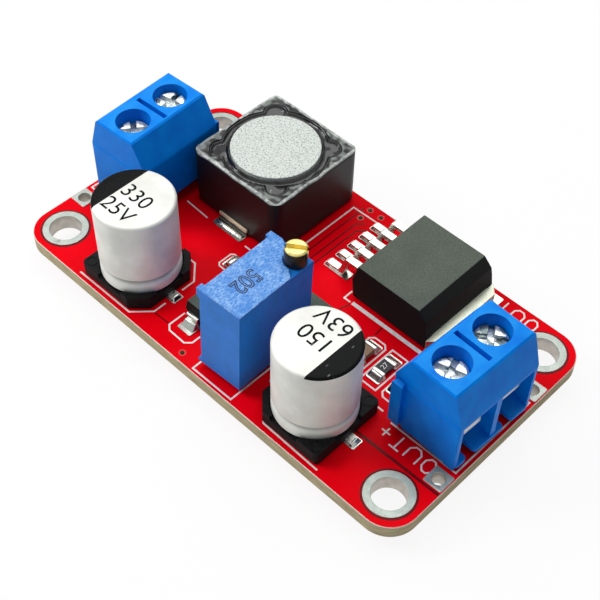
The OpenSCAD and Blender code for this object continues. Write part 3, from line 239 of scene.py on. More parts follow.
def maths(operation, first, second=0.0):
    """Works on two values, of which at least one is a socket."""
    tree = (first if is_socket(first) else second).id_data
    node = add_node(tree, "ShaderNodeMath", {"operation": operation})
    put(node.inputs[0], first)
    put(node.inputs[1], second)
    return node.outputs["Value"]


def product(first, second):
    return maths("MULTIPLY", first, second)


def vector_maths(operation, vector, other=(0, 0, 0)):
    """A value worked out from a vector, such as its length."""
    node = add_node(vector.id_data, "ShaderNodeVectorMath", {"operation": operation})
    put(node.inputs[0], vector)
    put(node.inputs[1], other)
    return node.outputs["Value"]


def along_axes(vector):
    """The parts of a vector along X, Y and Z."""
    return add_node(vector.id_data, "ShaderNodeSeparateXYZ", Vector=vector).outputs


def spread(value, low, high, to_low=0.0, to_high=1.0):
    """Stretches the part of a value from low to high over a new range, and clamps the rest."""
    node = add_node(value.id_data, "ShaderNodeMapRange", Value=value, From_Min=low, From_Max=high,
                    To_Min=to_low, To_Max=to_high)
    return node.outputs["Result"]


def mixed(share, first, second):
    """Mixes two colours, each a socket or a plain colour."""
    node = add_node(share.id_data, "ShaderNodeMix", {"data_type": "RGBA"}, Factor=share)
    for index, value in zip(MIX_COLOURS, (first, second)):
        put(node.inputs[index], value if is_socket(value) else (*value, 1))
    return node.outputs[MIX_RESULT]


def shaded(tint, share):
    """A colour made darker by a share below 1, or paler by a larger one."""
    return tuple(share * part for part in tint)


def effect_group(name, output, build, inputs=("Size",)):
    """A shader node group with a vector and named values going in, and one value coming out."""
    group = bpy.data.node_groups.get(name)
    if group:
        return group
    group = bpy.data.node_groups.new(name, "ShaderNodeTree")
    group.interface.new_socket("Vector", in_out="INPUT", socket_type="NodeSocketVector")
    for socket in inputs:
        group.interface.new_socket(socket, in_out="INPUT", socket_type="NodeSocketFloat")
    group.interface.new_socket(output, in_out="OUTPUT", socket_type="NodeSocketFloat")
    result = build(group.nodes.new("NodeGroupInput").outputs)
    group.links.new(result, group.nodes.new("NodeGroupOutput").inputs[output])
    return group


def pattern(kind, vector, size, **inputs):
    """A texture whose patches are about this large."""
    return add_node(vector.id_data, kind, Vector=vector, Scale=maths("DIVIDE", 1, size), **inputs).outputs


def noise(given, detail):
    return pattern("ShaderNodeTexNoise", given["Vector"], given["Size"], Detail=detail)["Fac"]


def cells(vector, size):
    return pattern("ShaderNodeTexVoronoi", vector, size)


def cell_tone(spots):
    """The tone that each cell has for itself."""
    return add_node(spots["Color"].id_data, "ShaderNodeSeparateColor", Color=spots["Color"]).outputs["Red"]


def mottle_group():
    """Soft patches of tone"""
    return effect_group("mottle", "Tone", lambda given: spread(noise(given, detail=3.0), 0.32, 0.68))


def waves_group():
    """Smooth swells"""
    return effect_group("waves", "Height", lambda given: noise(given, detail=0.0))


def grain_group():
    """Fine, crisp grain"""
    return effect_group("grain", "Grain", lambda given: spread(noise(given, detail=5.0), 0.25, 0.75))


def specks_group():
    """Sparse round specks, this large, in a share of the cells"""
    def build(given):
        spots = cells(given["Vector"], given["Size"])
        near = spread(spots["Distance"], 0.15, 0.45, 1, 0)
        return product(near, maths("LESS_THAN", cell_tone(spots), given["Share"]))
    return effect_group("specks", "Specks", build, ("Size", "Share"))


def facets_group():
    """Sharp-edged flats, each with a tone of its own"""
    def build(given):
        stretch = add_node(given["Vector"].id_data, "ShaderNodeMapping", Vector=given["Vector"],
                           Rotation=(0, 0, 0.7), Scale=(0.45, 1, 1))
        return cell_tone(cells(stretch.outputs["Vector"], given["Size"]))
    return effect_group("facets", "Tone", build)


class Finish:
    """A material under construction, with its shader and its coordinates in millimetres.

    The size of each pattern is in millimetres too."""

    def __init__(self, name, **constants):
        self.material = bpy.data.materials.new(name)
        self.material.use_nodes = True
        self.tree = self.material.node_tree
        self.shader = self.tree.nodes["Principled BSDF"]
        for socket, value in constants.items():
            self.feed(socket.replace("_", " "), value)
        self.place = add_node(self.tree, "ShaderNodeTexCoord").outputs["Object"]
        self.vector = self.mapped()

    def mapped(self, rotation=(0, 0, 0), stretch=(1, 1, 1)):
        """Object coordinates in millimetres, turned and stretched for a pattern."""
        mapping = add_node(self.tree, "ShaderNodeMapping", Vector=self.place, Rotation=rotation,
                           Scale=tuple(part / MM for part in stretch))
        return mapping.outputs["Vector"]

    def about(self, middle, **inputs):
        """Coordinates from a point on the plan."""
        mapping = add_node(self.tree, "ShaderNodeMapping", Vector=self.vector,
                           Location=(-middle.x, -middle.y, 0), **inputs)
        return mapping.outputs["Vector"]

    def effect(self, group, vector=None, **values):
        """Places an effect, on the plain coordinates unless others are given."""
        node = add_node(self.tree, "ShaderNodeGroup", {"node_tree": group},
                        Vector=vector or self.vector, **values)
        return node.outputs[0]

    def mottle(self, size, vector=None):
        return self.effect(mottle_group(), vector, Size=size)

    def waves(self, size):
        return self.effect(waves_group(), Size=size)

    def grain(self, size, vector=None):
        return self.effect(grain_group(), vector, Size=size)

    def specks(self, size, share, vector=None):
        return self.effect(specks_group(), vector, Size=size, Share=share)

    def facets(self, size):
        return self.effect(facets_group(), Size=size)

    def height(self):
        return along_axes(self.vector)["Z"]

    def upward(self):
        """How far a flat face looks up: 1 on a top, 0 on a wall and -1 on an underside."""
        return along_axes(add_node(self.tree, "ShaderNodeNewGeometry").outputs["True Normal"])["Z"]

    def feed(self, socket, value):
        put(self.shader.inputs[socket], value)

    def tone(self, share, first, second):
        """Goes from the first colour to the second as a share goes from 0 to 1."""
        self.feed("Base Color", mixed(share, first, second))

    def roughness(self, share, first, second):
        """Goes from the first roughness to the second as a share goes from 0 to 1."""
        self.feed("Roughness", spread(share, 0, 1, first, second))

    def bump(self, height, depth):
        """Raises the surface by a height pattern, to a depth in millimetres."""
        node = add_node(self.tree, "ShaderNodeBump", Height=height, Distance=depth * MM)
        self.feed("Normal", node.outputs["Normal"])


def finish(name, build):
    """The named material, made the first time that it is asked for."""
    return bpy.data.materials.get(name) or build(name)


# Finishes

# Height of the rolled groove above a can's foot, in millimetres
GROOVE_HEIGHT = 1.7
# Grey that shows where the print on a can is scratched
SCRATCH = (0.3, 0.3, 0.3)


def mask_finish(name):
    """Solder mask on the faces, bare laminate on the cut edges, and a pale line along their corner as a
    painted highlight
    """
    look = settings().board
    made = Finish(name, Specular_IOR_Level=0.02)
    level = maths("ABSOLUTE", made.upward())
    face = spread(level, 0.88, 0.94)
    mask = mixed(made.mottle(5.0), look.mask_shade, look.mask)
    layers = made.mottle(0.7, made.mapped(stretch=(0.4, 0.4, 6)))
    wall = mixed(layers, look.laminate_shade, look.laminate)
    # Painted highlight: the pale line along the corner
    edge = mixed(spread(level, 0.3, 0.6), wall, look.arris_highlight)
    made.tone(face, edge, mask)
    made.roughness(face, 0.75, 0.32)
    made.bump(made.grain(0.35), depth=0.004)
    return made.material


def gap_finish(name):
    """Dark solder mask in the gaps of the copper"""
    look = settings().board
    made = Finish(name, Specular_IOR_Level=0.1)
    made.tone(made.mottle(0.8), look.gap, shaded(look.gap, 1.5))
    made.roughness(made.grain(0.3), 0.25, 0.4)
    return made.material


def via_finish(name):
    """Solder mask that is paler over the rings of the vias"""
    look = settings().board
    made = Finish(name, Specular_IOR_Level=0.3)
    made.tone(made.mottle(0.3), look.mask, look.via)
    made.roughness(made.grain(0.2), 0.25, 0.4)
    return made.material


def ink_finish(name):
    """White print, a little worn"""
    look = settings().board
    made = Finish(name, Specular_IOR_Level=0.2)
    made.tone(made.mottle(0.4), shaded(look.ink, 0.82), look.ink)
    made.roughness(made.grain(0.15), 0.45, 0.7)
    made.bump(made.grain(0.12), depth=0.006)
    return made.material


def metal_finish(name, tint, smooth, rough, patch, depth=0.004, metallic=1.0):
    """Metal with soft patches of tone and roughness, and a fine unevenness"""
    made = Finish(name, Metallic=metallic)
    made.tone(made.mottle(patch), shaded(tint, 0.78), tint)
    made.roughness(made.grain(0.4 * patch), smooth, rough)
    made.bump(made.waves(0.6 * patch), depth)
    return made.material


def tin_finish(name):
    return metal_finish(name, settings().metal.tin, smooth=0.22, rough=0.36, patch=1.2)


def tab_finish(name):
    return metal_finish(name, settings().metal.tab, smooth=0.3, rough=0.35, patch=1.5, depth=0.001)


def solder_finish(name):
    return metal_finish(name, settings().metal.solder, smooth=0.14, rough=0.26, patch=0.8, depth=0.02)


def plated_finish(name):
    return metal_finish(name, settings().metal.plated, smooth=0.28, rough=0.45, patch=0.8, metallic=0.85)


def copper_finish(name):
    return metal_finish(name, settings().metal.copper, smooth=0.25, rough=0.4, patch=0.6)


def plating_finish(name):
    """Tinned metal, darker on its flat faces and paler on the walls of its holes, where the paler tone is
    painted light
    """
    look = settings().metal
    made = Finish(name, Metallic=0.65)
    patches = made.mottle(0.9)
    flat = mixed(patches, shaded(look.plating, 0.8), look.plating)
    wall_tone = mixed(patches, shaded(look.barrel_lit, 0.75), look.barrel_lit)
    # Painted light: the walls paler than the flats
    made.tone(spread(made.upward(), 0.2, 0.8), wall_tone, flat)
    fine = made.grain(0.15)
    made.roughness(fine, 0.34, 0.5)
    made.bump(fine, depth=0.005)
    return made.material


def clip_finish(name):
    """Tinned strip, tan along its upper edge and dark on its lower part with painted shade, where it stands
    in the shadow under the inductor's body
    """
    look = settings().metal
    made = Finish(name, Metallic=0.5)
    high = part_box("inductor_clips")[1].z / MM
    wavy = maths("ADD", made.height(), spread(made.waves(0.8), 0, 1, -0.1, 0.1))
    # Painted shade on the lower part of the clips
    made.tone(spread(wavy, high - 0.5, high - 0.38), look.clip_painted_shade, look.clip)
    made.roughness(made.grain(0.3), 0.3, 0.45)
    return made.material


def zinc_finish(name):
    """Bright zinc with sharp light and dark flats, painted highlights and painted shade that stand for
    reflections
    """
    look = settings().metal
    made = Finish(name, Metallic=0.6)
    flats = made.facets(0.4)
    # Painted highlights and painted shade: light and dark flats that stand for reflections
    made.tone(spread(flats, 0.12, 0.5), look.zinc_painted_shade, look.zinc)
    made.roughness(made.grain(0.2), 0.22, 0.36)
    made.bump(flats, depth=0.05)
    return made.material


def aluminium_finish(name):
    """Soft aluminium, with a painted shadow as a dark line in the groove that is rolled round a can"""
    bright = settings().metal.aluminium
    made = Finish(name, Metallic=0.15)
    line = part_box("input_capacitor_can")[0].z / MM + GROOVE_HEIGHT
    away = maths("ABSOLUTE", maths("SUBTRACT", made.height(), line))
    # Painted shadow: a dark band along the groove, where the lip above it casts shade
    groove_shade = product(spread(away, 0.32, 0.04), 0.85)
    patches = made.mottle(3.0)
    plain = mixed(patches, shaded(bright, 0.8), bright)
    made.tone(groove_shade, plain, shaded(bright, 0.25))
    made.roughness(patches, 0.42, 0.52)
    made.bump(made.grain(0.3), depth=0.004)
    return made.material


def brass_finish(name):
    """Bright brass with painted glints on its top, and painted shade down the outside of the head"""
    look = settings().metal
    made = Finish(name, Metallic=0.45)
    low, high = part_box("trimmer_screw")
    radius = vector_maths("LENGTH", made.about((low + high) / 2 / MM, Scale=(1, 1, 0)))
    reach = (high.x - low.x) / 2 / MM
    outer = spread(radius, reach - 0.16, reach - 0.08)
    wall = product(outer, spread(made.upward(), 0.8, 0.4))
    flats = made.facets(0.3)
    # Painted glints: light and dark flats on the head's top
    bright = mixed(flats, shaded(look.brass, 0.75), look.brass)
    # Painted shade on the outer wall of the head
    wall_tone = mixed(made.mottle(0.6), shaded(look.brass_side_shade, 0.3), look.brass_side_shade)
    made.tone(wall, bright, wall_tone)
    made.roughness(made.grain(0.15), 0.16, 0.3)
    made.bump(flats, depth=0.02)
    return made.material


def terminal_finish(name):
    """Blue moulded plastic, rubbed paler in patches on top"""
    look = settings().plastic
    made = Finish(name, Specular_IOR_Level=0.06)
    plain = mixed(made.mottle(2.2), look.terminal_shade, look.terminal)
    patches = made.mottle(1.6, made.mapped(stretch=(1, 0.5, 1)))
    rubbed = product(patches, spread(made.upward(), 0.9, 0.99, 0.0, 0.45))
    made.tone(rubbed, plain, look.terminal_scuff)
    made.roughness(made.grain(0.3), 0.28, 0.42)
    made.bump(made.grain(0.18), depth=0.004)
    return made.material


def trimmer_finish(name):
    """Smooth blue plastic, with a pebbled top above the step round the screw whose pale grain is painted
    glints
    """
    look = settings().plastic
    made = Finish(name, Specular_IOR_Level=0.2)
    middle, normal, _ = top_plane("trimmer_housing")
    level = middle.dot(normal) / MM
    top = spread(vector_maths("DOT_PRODUCT", made.vector, normal), level - 0.12, level - 0.06)
    pebbles = made.grain(0.14, made.mapped(rotation=(0, 0, 0.6), stretch=(1, 0.5, 1)))
    # Painted glints: the pale grain on the top
    worn = product(spread(pebbles, 0.2, 0.8), spread(made.mottle(1.1), 0, 1, 0.25, 1))
    rubbed = mixed(worn, look.trimmer_top, look.trimmer_glints)
    plain = mixed(made.mottle(1.5), shaded(look.trimmer, 0.85), look.trimmer)
    made.tone(top, plain, rubbed)
    made.roughness(pebbles, 0.35, 0.55)
    made.bump(product(pebbles, spread(top, 0, 1, 0.25, 1)), depth=0.03)
    return made.material


def compound_finish(name):
    """Moulding compound, dark on its sides and painted paler grey-green with fine pale glints on top, as
    painted light
    """
    look = settings().plastic
    made = Finish(name, Specular_IOR_Level=0.08)
    fine = made.grain(0.16)
    soft = spread(made.mottle(3.0), 0, 1, 0.6, 1)
    # Painted light: the paler top with its pale glints
    top = mixed(product(fine, soft), look.compound_lit_top, look.compound_top_glints)
    side = mixed(fine, look.compound, shaded(look.compound, 1.6))
    made.tone(spread(made.upward(), 0.78, 0.97), side, top)
    made.roughness(fine, 0.5, 0.7)
    made.bump(fine, depth=0.01)
    return made.material


def black_finish(name, tint, smooth, rough, grain, depth, gloss=0.2):
    """A dark plastic, glaze or ink with a fine grain"""
    made = Finish(name, Specular_IOR_Level=gloss)
    fine = made.grain(grain)
    made.tone(fine, tint, tuple(1.7 * part + 0.004 for part in tint))
    made.roughness(fine, smooth, rough)
    made.bump(fine, depth)
    return made.material


def base_finish(name):
    return black_finish(name, settings().plastic.base, smooth=0.4, rough=0.55, grain=0.3, depth=0.008,
                        gloss=0.07)


def glaze_finish(name):
    return black_finish(name, settings().plastic.glaze, smooth=0.2, rough=0.35, grain=0.2, depth=0.004)


def trimmer_ink_finish(name):
    return black_finish(name, settings().plastic.trimmer_ink, smooth=0.4, rough=0.55, grain=0.2, depth=0.004)


def glue_finish(name):
    """Black glue with smooth swells"""
    look = settings().plastic
    made = Finish(name, Specular_IOR_Level=0.45)
    made.tone(made.mottle(1.0), look.glue, shaded(look.glue, 2))
    made.roughness(made.mottle(0.6), 0.06, 0.14)
    made.bump(made.waves(0.8), depth=0.02)
    return made.material


def can_ink_finish(name):
    """Black print with a few bright scratches"""
    look = settings().plastic
    made = Finish(name, Specular_IOR_Level=0.05)
    scratches = made.specks(0.2, share=0.03, vector=made.mapped(stretch=(1, 0.4, 1)))
    made.tone(product(scratches, 0.6), look.can_ink, SCRATCH)
    fine = made.grain(0.2)
    made.roughness(fine, 0.15, 0.35)
    made.bump(fine, depth=0.006)
    return made.material


def ferrite_finish(name):
    """Black ferrite, its rim wet with glue up to a ground grey edge, with a painted sheen in grey streaks on
    the glue film
    """
    look = settings().plastic
    made = Finish(name, Specular_IOR_Level=0.25)
    low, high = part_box("inductor_shield")
    sides = along_axes(made.about((low + high) / 2 / MM))
    reach = maths("MAXIMUM", maths("ABSOLUTE", sides["X"]), maths("ABSOLUTE", sides["Y"]))
    uneven = maths("ADD", reach, spread(made.mottle(0.8), 0, 1, -0.1, 0.1))
    half = (high.x - low.x) / 2 / MM
    border = spread(uneven, half - 0.46, half - 0.34)
    top = spread(made.upward(), 0.5, 0.9)
    fine = made.grain(0.2)
    black = mixed(fine, shaded(look.ferrite, 0.6), look.ferrite)
    edge = mixed(made.mottle(0.5), shaded(look.rim, 0.3), look.rim)
    # Painted reflection: grey streaks of sheen on the glue film
    film = mixed(spread(made.waves(0.7), 0.4, 0.62), look.ferrite, look.film)
    made.tone(product(top, border), mixed(top, black, film), edge)
    wet = product(top, maths("SUBTRACT", 1, border))
    made.roughness(wet, 0.42, 0.1)
    made.bump(fine, depth=0.008)
    return made.material


def core_finish(name):
    """Ground ferrite, pale and sparkling with dark pores"""
    look = settings().plastic
    made = Finish(name, Specular_IOR_Level=0.4)
    fine = made.grain(0.14)
    pores = product(made.specks(0.22, share=0.3), 0.6)
    made.tone(maths("MAXIMUM", spread(fine, 0.5, 0.15), pores), look.core, look.core_grain)
    made.roughness(fine, 0.35, 0.6)
    made.bump(fine, depth=0.02)
    return made.material


def ceramic_finish(name):
    """Brown ceramic with a fine grain"""
    look = settings().plastic
    made = Finish(name, Specular_IOR_Level=0.3)
    made.tone(made.grain(0.2), shaded(look.ceramic, 0.7), look.ceramic)
    fine = made.grain(0.1)
    made.roughness(fine, 0.35, 0.55)
    made.bump(fine, depth=0.005)
    return made.material


# Slots of the record and the finishes that dress them
FINISHES = {
    "solder_mask": mask_finish,
    "tinned_copper": tin_finish,
    "solder": solder_finish,
    "terminal_plastic": terminal_finish,
    "plated_steel": plated_finish,
    "screw_steel": zinc_finish,
    "ferrite": ferrite_finish,
    "ferrite_core": core_finish,
    "copper_wire": copper_finish,
    "potting_glue": glue_finish,
    "moulding_compound": compound_finish,
    "can_aluminium": aluminium_finish,
    "base_plastic": base_finish,
    "trimmer_plastic": trimmer_finish,
    "screw_brass": brass_finish,
    "resistor_glaze": glaze_finish,
    "chip_ceramic": ceramic_finish,
}


def slot_finish(slot):
    return finish(slot + "_finish", FINISHES[slot])


# Pieces

# Least upward part of the normal of a level face, and of one that slopes
LEVEL_FACE = 0.9
SLOPING_FACE = 0.3


def add_object(name, data):
    """Puts an object into the scene, at the origin."""
    made = bpy.data.objects.new(name, data)
    bpy.context.scene.collection.objects.link(made)
    return made


def to_mesh(bm, name):
    """Turns a finished bmesh into a mesh of this name."""
    mesh = bpy.data.meshes.new(name)
    bm.to_mesh(mesh)
    bm.free()
    return mesh


def add_piece(bm, name, material, body="board", replaces=()):
    """Makes an object of a finished mesh, shades it, and seats it on its body."""
    mesh = to_mesh(bm, name)
    mesh.materials.append(material)
    mesh.shade_smooth()
    mesh.set_sharp_from_angle(angle=SMOOTH_ANGLE)
    piece = add_object(name, mesh)
    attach(piece, body)
    if replaces:
        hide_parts(*replaces)
    return piece


def dress_nodes(slot, *nodes):
    """Gives CAD nodes that keep their own shape a finish."""
    for node in nodes:
        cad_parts[node].data.materials.clear()
        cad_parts[node].data.materials.append(slot_finish(slot))


def merged_node(node):
    """A copy of a node's mesh with its corners merged."""
    bm = bmesh.new()
    bm.from_mesh(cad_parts[node].data)
    bmesh.ops.remove_doubles(bm, verts=bm.verts, dist=MERGE_DISTANCE)
    return bm


def node_copy(node):
    """A copy of a node's mesh with its triangles joined into whole flat faces."""
    bm = merged_node(node)
    bmesh.ops.dissolve_limit(bm, angle_limit=FLAT_ANGLE, verts=bm.verts, edges=bm.edges, delimit={"NORMAL"})
    return bm


def bevel(bm, edges, width, segments):
    """Rounds some edges of a mesh, or cuts them flat where there is one segment."""
    bmesh.ops.bevel(bm, geom=edges, offset=width, offset_type="OFFSET", segments=segments, profile=0.5,
                    affect="EDGES", clamp_overlap=True, material=-1)


def soften(bm, width):
    """Rounds the sharp edges of a mesh."""
    sharp = [e for e in bm.edges if len(e.link_faces) == 2 and e.calc_face_angle() > SHARP_ANGLE]
    bevel(bm, sharp, width, segments=2)


def add_soft_piece(bm, node, slot, body="board", material=None):
    """Makes a piece of a node's softened mesh, evenly shaded, which stands for that node."""
    piece = add_piece(bm, node + ".soft", material or slot_finish(slot), body, [node])
    even = piece.modifiers.new("even_shading", "WEIGHTED_NORMAL")
    even.keep_sharp = True


def soft_node(node, slot, edge, body="board", material=None):
    """A copy of a node with softened edges, which stands for it."""
    bm = node_copy(node)
    soften(bm, edge)
    add_soft_piece(bm, node, slot, body, material)


def cut_plane(bm, point, normal, **options):
    """Cuts a mesh along a plane, and gives the edges of the cut."""
    cut = bmesh.ops.bisect_plane(bm, geom=bm.verts[:] + bm.edges[:] + bm.faces[:], dist=MERGE_DISTANCE,
                                 plane_co=point, plane_no=normal, **options)
    return [part for part in cut["geom_cut"] if isinstance(part, bmesh.types.BMEdge)]


def cut_off(bm, point, normal):
    """Cuts away what lies beyond a plane, and closes the cut."""
    bmesh.ops.edgeloop_fill(bm, edges=cut_plane(bm, point, normal, clear_outer=True))
    bmesh.ops.recalc_face_normals(bm, faces=bm.faces)


def top_plane(node):
    """The middle and normal of a node's largest upward face, and the way of its longest edge."""
    bm = node_copy(node)
    face = max((f for f in bm.faces if f.normal.z > LEVEL_FACE), key=lambda f: f.calc_area())
    edge = max(face.edges, key=lambda e: e.calc_length())
    way = (edge.verts[1].co - edge.verts[0].co).normalized()
    plane = face.calc_center_bounds(), face.normal.copy(), way if way.y > 0 else -way
    bm.free()
    return plane


def solid_boxes(node):
    """The corners of each separate solid in a node, in order along X and then Y."""
    bm = merged_node(node)
    left = set(bm.verts)
    boxes = []
    while left:
        reached = [left.pop()]
        for vert in reached:
            for edge in vert.link_edges:
                other = edge.other_vert(vert)
                if other in left:
                    left.remove(other)
                    reached.append(other)
        low = Vector([min(v.co[axis] for v in reached) for axis in range(3)])
        high = Vector([max(v.co[axis] for v in reached) for axis in range(3)])
        boxes.append((low, high))
    bm.free()
    return sorted(boxes, key=lambda box: (round(box[0].x, 5), round(box[0].y, 5)))


def arc(centre_x, centre_y, radius, start, end, steps):
    """Points along a round stretch, with angles in degrees."""
    turns = [math.radians(start + (end - start) * step / steps) for step in range(steps + 1)]
    return [(centre_x + radius * math.cos(t), centre_y + radius * math.sin(t)) for t in turns]


def add_chain(bm, spots, closed):
    """Adds points that are joined in a row, or in a ring where it is closed."""
    verts = [bm.verts.new(spot) for spot in spots]
    ends = verts[1:] + verts[:1] if closed else verts[1:]
    return verts, [bm.edges.new(pair) for pair in zip(verts, ends)]


def spin_profile(bm, profile, axis, closed=False, steps=SPIN_STEPS):
    """Turns a half section, given as radius and height, about an upright axis."""
    verts, edges = add_chain(bm, [(axis[0] + radius, axis[1], height) for radius, height in profile], closed)
    bmesh.ops.spin(bm, geom=verts + edges, cent=(axis[0], axis[1], 0), axis=(0, 0, 1), dvec=(0, 0, 0),
                   angle=math.tau, steps=steps, use_merge=True)
    bmesh.ops.remove_doubles(bm, verts=bm.verts, dist=MERGE_DISTANCE)
    bmesh.ops.recalc_face_normals(bm, faces=bm.faces)


def add_ring(bm, middle, inner, width, low, rise, steps=64):
    """Adds a flat ring to a mesh that already holds other solids."""
    section = [(inner, low), (inner + width, low), (inner + width, low + rise), (inner, low + rise)]
    ring = bmesh.new()
    spin_profile(ring, section, middle, closed=True, steps=steps)
    mesh = to_mesh(ring, "ring")
    bm.from_mesh(mesh)
    bpy.data.meshes.remove(mesh)


def add_stroke(bm, points, width, low, rise, closed=False):
    """Adds a printed line: a chain of edges raised to a wall and given the line's width."""
    verts, edges = add_chain(bm, [(x, y, low) for x, y in points], closed)
    raised = bmesh.ops.extrude_edge_only(bm, edges=edges)["geom"]
    top = [part for part in raised if isinstance(part, bmesh.types.BMVert)]
    faces = [part for part in raised if isinstance(part, bmesh.types.BMFace)]
    bmesh.ops.translate(bm, verts=top, vec=(0, 0, rise))
    bm.normal_update()
    shifts = [(v, v.normal * v.calc_shell_factor() * width / 2) for v in verts + top]
    for vert, shift in shifts:
        vert.co += Vector((shift.x, shift.y, 0))
    bmesh.ops.solidify(bm, geom=faces, thickness=width)


def add_lettering(name, words, place, material, size, rise, outline=0.0):
    """Printed words as a thin raised mesh, filled or as an outline, made flat and then put in place."""
    text = bpy.data.curves.new(name, "FONT")
    text.body = words
    text.size = size
    text.align_x = "CENTER"
    text.align_y = "CENTER"
    if outline:
        text.fill_mode = "NONE"
        text.bevel_depth = outline / 2
        text.bevel_resolution = 0
    else:
        text.extrude = rise / 2
    holder = add_object(name + ".text", text)
    bpy.context.view_layer.update()
    mesh = bpy.data.meshes.new_from_object(holder.evaluated_get(bpy.context.evaluated_depsgraph_get()))
    bpy.data.objects.remove(holder)
    bpy.data.curves.remove(text)
    bm = bmesh.new()
    bm.from_mesh(mesh)
    bpy.data.meshes.remove(mesh)
    bmesh.ops.remove_doubles(bm, verts=bm.verts, dist=MERGE_DISTANCE)
    if outline:
        bmesh.ops.scale(bm, vec=(1, 1, rise / outline), verts=bm.verts)
    bmesh.ops.transform(bm, matrix=place, verts=bm.verts)
    add_piece(bm, name, material)


# Print on the board, in millimetres from the board's middle

# Printed lines, each with whether it closes on itself
PRINT_OUTLINES = [
    # Round the trimmer
    (True, [(0.18, -13.62), (5.22, -13.58), (5.25, -3.0), (0.15, -3.0)]),
    # Round the input capacitor's base
    (False, [(-16.5, -4.7), (-9.25, -4.7), (-7.55, -6.4), (-7.55, -7.95)]),
    (False, [(-7.45, -10.2), (-7.45, -11.65), (-9.1, -13.4), (-16.4, -13.45)]),
    # Round the output capacitor's base
    (False, [(15.9, -4.75), (9.1, -4.75), (7.15, -6.6), (7.15, -8.0)]),
    (False, [(7.15, -10.2), (7.15, -11.3), (9.15, -13.3), (15.95, -13.45)]),
    # Round the protection diode's lands
    (False, [(-5.22, -9.7), (-5.22, -11.7), (-4.7, -12.15), (-2.6, -12.2), (-2.05, -11.65), (-2.05, -10.65)]),
    (False, [(-5.22, -5.6), (-5.22, -3.6), (-4.7, -3.15), (-2.6, -3.1), (-2.05, -3.65), (-2.05, -4.65)]),
    # Beside the inductor
    (False, [(-16.2, 0.6), (-12.95, 0.42)]),
    (False, [(-7.4, 0.42), (-3.34, 0.42), (-3.34, 12.2), (1.45, 12.3)]),
    # The regulator's corner
    (False, [(4.28, 3.7), (4.3, 2.55), (5.1, 2.55)]),
    # Round the row of chip parts
    (True, [(11.9, -3.55), (13.85, -3.55), (13.85, 1.05), (11.9, 1.05)]),
    (True, [(9.75, -3.5), (11.0, -3.5), (11.4, -3.1), (11.4, 0.6), (11.0, 1.0), (9.75, 1.0), (9.35, 0.6),
            (9.35, -3.1)]),
    (True, [(14.8, -3.6), (15.9, -3.6), (16.3, -3.2), (16.3, 0.7), (15.9, 1.1), (14.8, 1.1), (14.4, 0.7),
            (14.4, -3.2)]),
    # Round the chip capacitor that lies along the board
    (True, [(-7.6, -2.95), (-7.3, -3.2), (-3.7, -3.2), (-3.4, -2.95), (-3.4, -1.35), (-3.7, -1.1),
            (-7.3, -1.1), (-7.6, -1.35)]),
    # Round the terminals
    (False, [(17.2, -5.2), (24.72, -5.15), (24.72, 5.35), (17.2, 5.35)]),
    (False, [(-16.8, -5.2), (-24.72, -5.15), (-24.72, 6.3), (-16.8, 6.3)]),
]
# The broad bar beside the regulator
REGULATOR_BAR = [(5.3, 2.62), (14.0, 2.68)]
REGULATOR_BAR_WIDTH = 0.42

# Gaps between the areas of copper, which show through the mask
WIDE_GAP = [(15.6, -8.06), (25.1, -7.9)]
COPPER_GAPS = [
    [(-7.3, -11.75), (-5.4, -11.65)],
    [(4.9, 1.16), (5.25, 2.35)],
    [(9.5, 1.25), (9.4, 2.35)],
    [(-2.5, 0.6), (-2.5, 12.9)],
    [(-1.6, 1.2), (-1.6, 10.6), (-0.9, 11.3)],
    [(-0.9, 1.2), (-0.9, 9.9), (-0.2, 10.6)],
]

# Letters as strokes in a cell one high, each with the cell's width, and the gap between two letters
LETTERS = {
    "O": (0.75, [(True, [(0.24, 0), (0.51, 0), (0.75, 0.28), (0.75, 0.72), (0.51, 1), (0.24, 1), (0, 0.72),
                         (0, 0.28)])]),
    "U": (0.86, [(False, [(0, 1), (0, 0.28), (0.26, 0), (0.6, 0), (0.86, 0.28), (0.86, 1)])]),
    "T": (0.72, [(False, [(0, 1), (0.72, 1)]), (False, [(0.36, 0.94), (0.36, 0)])]),
    "I": (0.1, [(False, [(0.05, 0), (0.05, 1)])]),
    "N": (0.7, [(False, [(0, 0), (0, 1), (0.7, 0), (0.7, 1)])]),
    "+": (0.66, [(False, [(0, 0.45), (0.66, 0.45)]), (False, [(0.33, 0.12), (0.33, 0.41)]),
                 (False, [(0.33, 0.49), (0.33, 0.78)])]),
    "-": (0.66, [(False, [(0, 0.45), (0.66, 0.45)])]),
}
LETTER_GAP = 0.36

# Words, the middle of each, the turn of its reading direction in degrees, and its height
BOARD_WORDS = [
    ("OUT+", (20.12, -6.3), 180.0, 1.5),
    ("OUT-", (17.0, 12.7), 180.0, 1.4),
    ("IN+", (-20.4, 7.6), 0.0, 1.4),
    ("IN-", (-20.4, -6.3), 0.0, 1.4),
]

# Places of the vias, the width of their holes and the steps round them
VIA_PLACES = [(-1.85, 13.1), (-0.35, 13.1), (-1.85, 11.6), (-1.85, -13.1)]
VIA_HOLE = 0.5
VIA_STEPS = 24
# Radius of the board's corners, and how near to its outline a point counts as on it
BOARD_CORNER = 3.0
OUTLINE_SLACK = 0.05


def board_top():
    """Height of the board's upper face."""
    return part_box("pcb")[1].z


def on_outline(spot, corner):
    """Whether a point lies on the board's outline, given its far corner."""
    radius = BOARD_CORNER * MM
    x = abs(spot.x) - corner.x + radius
    y = abs(spot.y) - corner.y + radius
    reach = math.hypot(x, y) if x > 0 and y > 0 else max(x, y)
    return reach > radius - OUTLINE_SLACK * MM


def in_metres(points):
    return [(x * MM, y * MM) for x, y in points]


